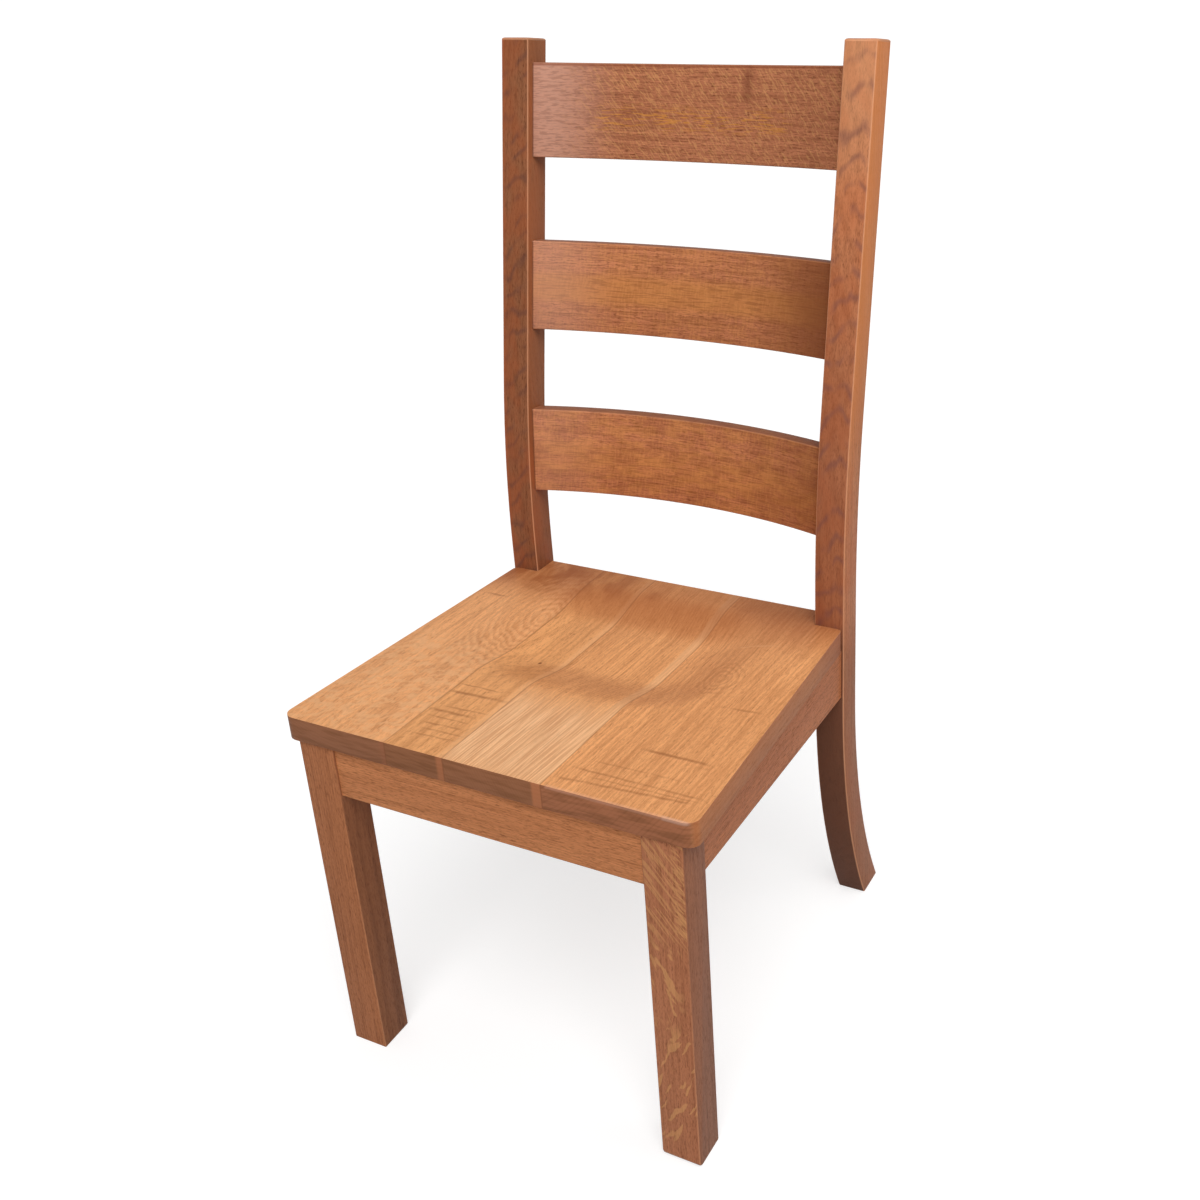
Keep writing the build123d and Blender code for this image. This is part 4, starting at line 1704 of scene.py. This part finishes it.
        return (
            Streaks(shown(190, 124, 76), 0.32, 9, 330, 0.0, top, 0.48, 0.10, 0.002),
            SawCut((0.145, 0.213), 0.100, 0.0, 0.0040, 0.60),
            SawCut((0.099, 0.235), 0.040, 0.0, 0.0030, 0.45),
            SawCut((0.091, 0.228), 0.023, 0.09, 0.0034, 0.50),
            SawCut((0.110, 0.200), 0.060, 0.02, 0.0026, 0.30),
            SawCut((0.120, 0.235), 0.032, 0.03, 0.0024, 0.35),
            SawCut((0.177, 0.218), 0.213, 0.12, 0.0034, 0.45),
            SawCut((0.130, 0.174), 0.357, 0.34, 0.0024, 0.50, pale, 0.0),
            Swirl(dark, 0.28, 0.146, 0.272, 1.5, 0.010, 0.055),
            # Painted highlight along the rounded front edge, stronger near the corner.
            Tint(shown(244, 190, 164), 0.22, Window(x=(0.085, 0.25), y=edge, z=crest, soft=0.0015)),
            Tint(shown(255, 226, 208), 0.16, Window(x=(0.215, 0.242), y=edge, z=crest, soft=0.0015)),
        )


@dataclass
class HiddenJoinery:
    """The corner blocks, dowels and screws inside the seat frame, which keep their CAD shapes."""

    blocks: tuple[str, ...] = (
        "corner_block_front_left",
        "corner_block_front_right",
        "corner_block_rear_left",
        "corner_block_rear_right",
    )
    screws: tuple[str, ...] = ("corner_block_screws", "seat_screws")

    def dress(self) -> None:
        """Gives each hidden piece its finish."""
        for number, node in enumerate(self.blocks):
            self.paint(node, self.bare_oak(node, 1.1 + 2.3 * number))
        self.paint("apron_dowels", self.bare_oak("apron_dowels", 4.4))
        steel = ScrewFinish().material()
        for node in self.screws:
            self.paint(node, steel)

    def paint(self, node: str, material: bpy.types.Material) -> None:
        """Puts a material on a CAD node.

        Args:
            node: The node's name.
            material: Its new material.
        """
        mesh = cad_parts[node].data
        mesh.materials.clear()
        mesh.materials.append(material)
        LOG.info("%s: CAD shape, finish %s", node, material.name)

    def bare_oak(self, node: str, seed: float) -> bpy.types.Material:
        """Unstained oak for a piece that isn't seen in use.

        Args:
            node: The node's name.
            seed: Where in the tree it was cut.

        Returns:
            The new material.
        """
        low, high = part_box(node)
        centre = (low + high) / 2
        return OakFinish(
            name=f"bare_oak_{node}",
            slot="oak_bare",
            grain=Grain.ACROSS,
            middle=(centre.y - SIZES.onto_frame, centre.z),
            tones=Tones(shown(196, 158, 116)),
            seed=seed,
            roughness=0.56,
        ).material()


@dataclass
class Studio:
    """Floor, light and camera."""

    camera_place: tuple[float, float, float] = (0.795122, -1.028563, 1.310640)
    camera_yaw: float = math.radians(31.514)
    camera_pitch: float = math.radians(-27.563)
    camera_roll: float = math.radians(-4.576)
    focal_pixels: float = 1523.261
    picture: float = 1200.0
    sensor: float = 36.0
    floor_size: float = 80.0
    floor_tone: float = 0.50
    floor_glow: float = 0.62
    ambient: float = 0.27
    mirrored_share: float = 0.08
    sight: float = 200.0

    def build(self) -> None:
        """Sets up the whole studio."""
        self.floor()
        self.world()
        self.lamp("key", towards=(0.30, -0.55, 0.78), power=1.90, spread=math.radians(40))
        self.lamp("ceiling", towards=(0.0, 0.1, 1.0), power=0.45, spread=math.radians(90))
        self.panel("right", place=(0.95, 0.0, 1.55), aim=(0.2, 0.2, 0.9), side=0.6, power=3.0)
        self.camera()
        bpy.context.scene.view_settings.view_transform = "Standard"

    def seen(self, graph: Graph) -> Value:
        """How far a ray comes from the camera, straight or by way of gloss.

        Args:
            graph: The graph that asks.

        Returns:
            1 for what the camera sees, less for what gloss mirrors, and 0 for other light.
        """
        path = graph.node("ShaderNodeLightPath", {}, {})
        direct = graph.math(
            "MAXIMUM",
            Value(graph, path.outputs["Is Camera Ray"]),
            Value(graph, path.outputs["Is Transmission Ray"]),
        )
        mirrored = Value(graph, path.outputs["Is Glossy Ray"]) * self.mirrored_share
        return graph.math("MAXIMUM", direct, mirrored)

    def floor(self) -> None:
        """A pale floor that runs out past the picture and looks white where no shadow falls."""
        bpy.ops.object.select_all(action="DESELECT")
        bpy.ops.mesh.primitive_plane_add(size=self.floor_size)
        floor = bpy.context.object
        floor.name = "studio_floor"
        graph = MaterialGraph("pale_floor")
        for name, given in (
            ("Base Color", (self.floor_tone,) * 3), ("Roughness", 0.9), ("Specular IOR Level", 0.1)
        ):
            graph.feed(graph.surface.inputs[name], given)
        plain = graph.surface.outputs[0]
        glow = graph.node("ShaderNodeEmission", {}, {"Strength": self.floor_glow}).outputs[0]
        bright = graph.node("ShaderNodeAddShader", {}, {0: plain, 1: glow}).outputs[0]
        shader = graph.node("ShaderNodeMixShader", {}, {0: self.seen(graph), 1: plain, 2: bright})
        graph.feed(graph.output.inputs[0], shader.outputs[0])
        floor.data.materials.append(graph.material)
        floor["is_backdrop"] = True

    def world(self) -> None:
        """Even light from all round, white where the camera looks past the floor."""
        world = bpy.data.worlds.new("studio_world")
        bpy.context.scene.world = world
        world.use_nodes = True
        graph = Graph(world.node_tree, "ShaderNodeBackground", "ShaderNodeOutputWorld")
        graph.feed(graph.surface.inputs["Color"], (1.0, 1.0, 1.0))
        strength = self.seen(graph) * (1 - self.ambient) + self.ambient
        graph.feed(graph.surface.inputs["Strength"], strength)

    def lamp(self, name: str, towards: Sequence[float], power: float, spread: float) -> None:
        """A wide soft lamp that lights the floor evenly.

        Args:
            name: The lamp's name.
            towards: Direction from the chair to the lamp.
            power: Light on a surface that faces the lamp, in watts per square metre.
            spread: How wide the lamp looks from the chair, in radians.
        """
        light = bpy.data.lights.new(name, "SUN")
        light.energy = power
        light.angle = spread
        lamp = bpy.data.objects.new(name, light)
        bpy.context.scene.collection.objects.link(lamp)
        lamp.rotation_euler = Vector(towards).to_track_quat("Z", "Y").to_euler()

    def panel(
        self, name: str, place: Sequence[float], aim: Sequence[float], side: float, power: float
    ) -> None:
        """A soft square lamp that stands near the chair.

        Args:
            name: The lamp's name.
            place: Where it stands.
            aim: What it points at.
            side: Side of its square.
            power: Watts.
        """
        light = bpy.data.lights.new(name, "AREA")
        light.size = side
        light.energy = power
        lamp = bpy.data.objects.new(name, light)
        bpy.context.scene.collection.objects.link(lamp)
        lamp.location = place
        lamp.rotation_euler = (Vector(place) - Vector(aim)).to_track_quat("Z", "Y").to_euler()

    def camera(self) -> None:
        """A camera at the photograph's place, turn and tilt."""
        yaw, pitch, roll = self.camera_yaw, self.camera_pitch, self.camera_roll
        ahead, rise = math.cos(pitch), math.sin(pitch)
        forward = Vector((-math.sin(yaw) * ahead, math.cos(yaw) * ahead, rise))
        level = Vector((math.cos(yaw), math.sin(yaw), 0.0))
        up = level.cross(forward)
        right = math.cos(roll) * level + math.sin(roll) * up
        top = math.cos(roll) * up - math.sin(roll) * level
        lens = bpy.data.cameras.new("camera")
        lens.sensor_width = self.sensor
        lens.lens = self.focal_pixels / self.picture * self.sensor
        lens.clip_end = self.sight
        camera = bpy.data.objects.new("camera", lens)
        bpy.context.scene.collection.objects.link(camera)
        turn = Matrix((right, top, -forward)).transposed().to_4x4()
        place = Vector(self.camera_place) + Vector((0, SIZES.onto_frame, 0))
        camera.matrix_world = Matrix.Translation(place) @ turn
        bpy.context.scene.camera = camera


def write_sizes() -> None:
    """Gathers the CAD box and the dressed chair's box as plain lists."""
    boxes = {"cad": CAD_BOX, "visual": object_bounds()}
    plain = {name: [[float(v) for v in corner] for corner in box] for name, box in boxes.items()}


def main() -> None:
    """Builds and dresses the chair, then sets up the studio."""
    logging.basicConfig(level=logging.INFO, format="%(name)s %(message)s")
    posts = [BackPost(side) for side in Side]
    for post in posts:
        post.build()
    for side in Side:
        FrontLeg(side).build()
    for place in ApronPlace:
        Apron(place).build()
    for slat in SlatPlace:
        BackSlat(slat, posts[0]).build()
    PlankSeat().build()
    HiddenJoinery().dress()
    Studio().build()
    write_sizes()


if __name__ == "__main__":
    main()
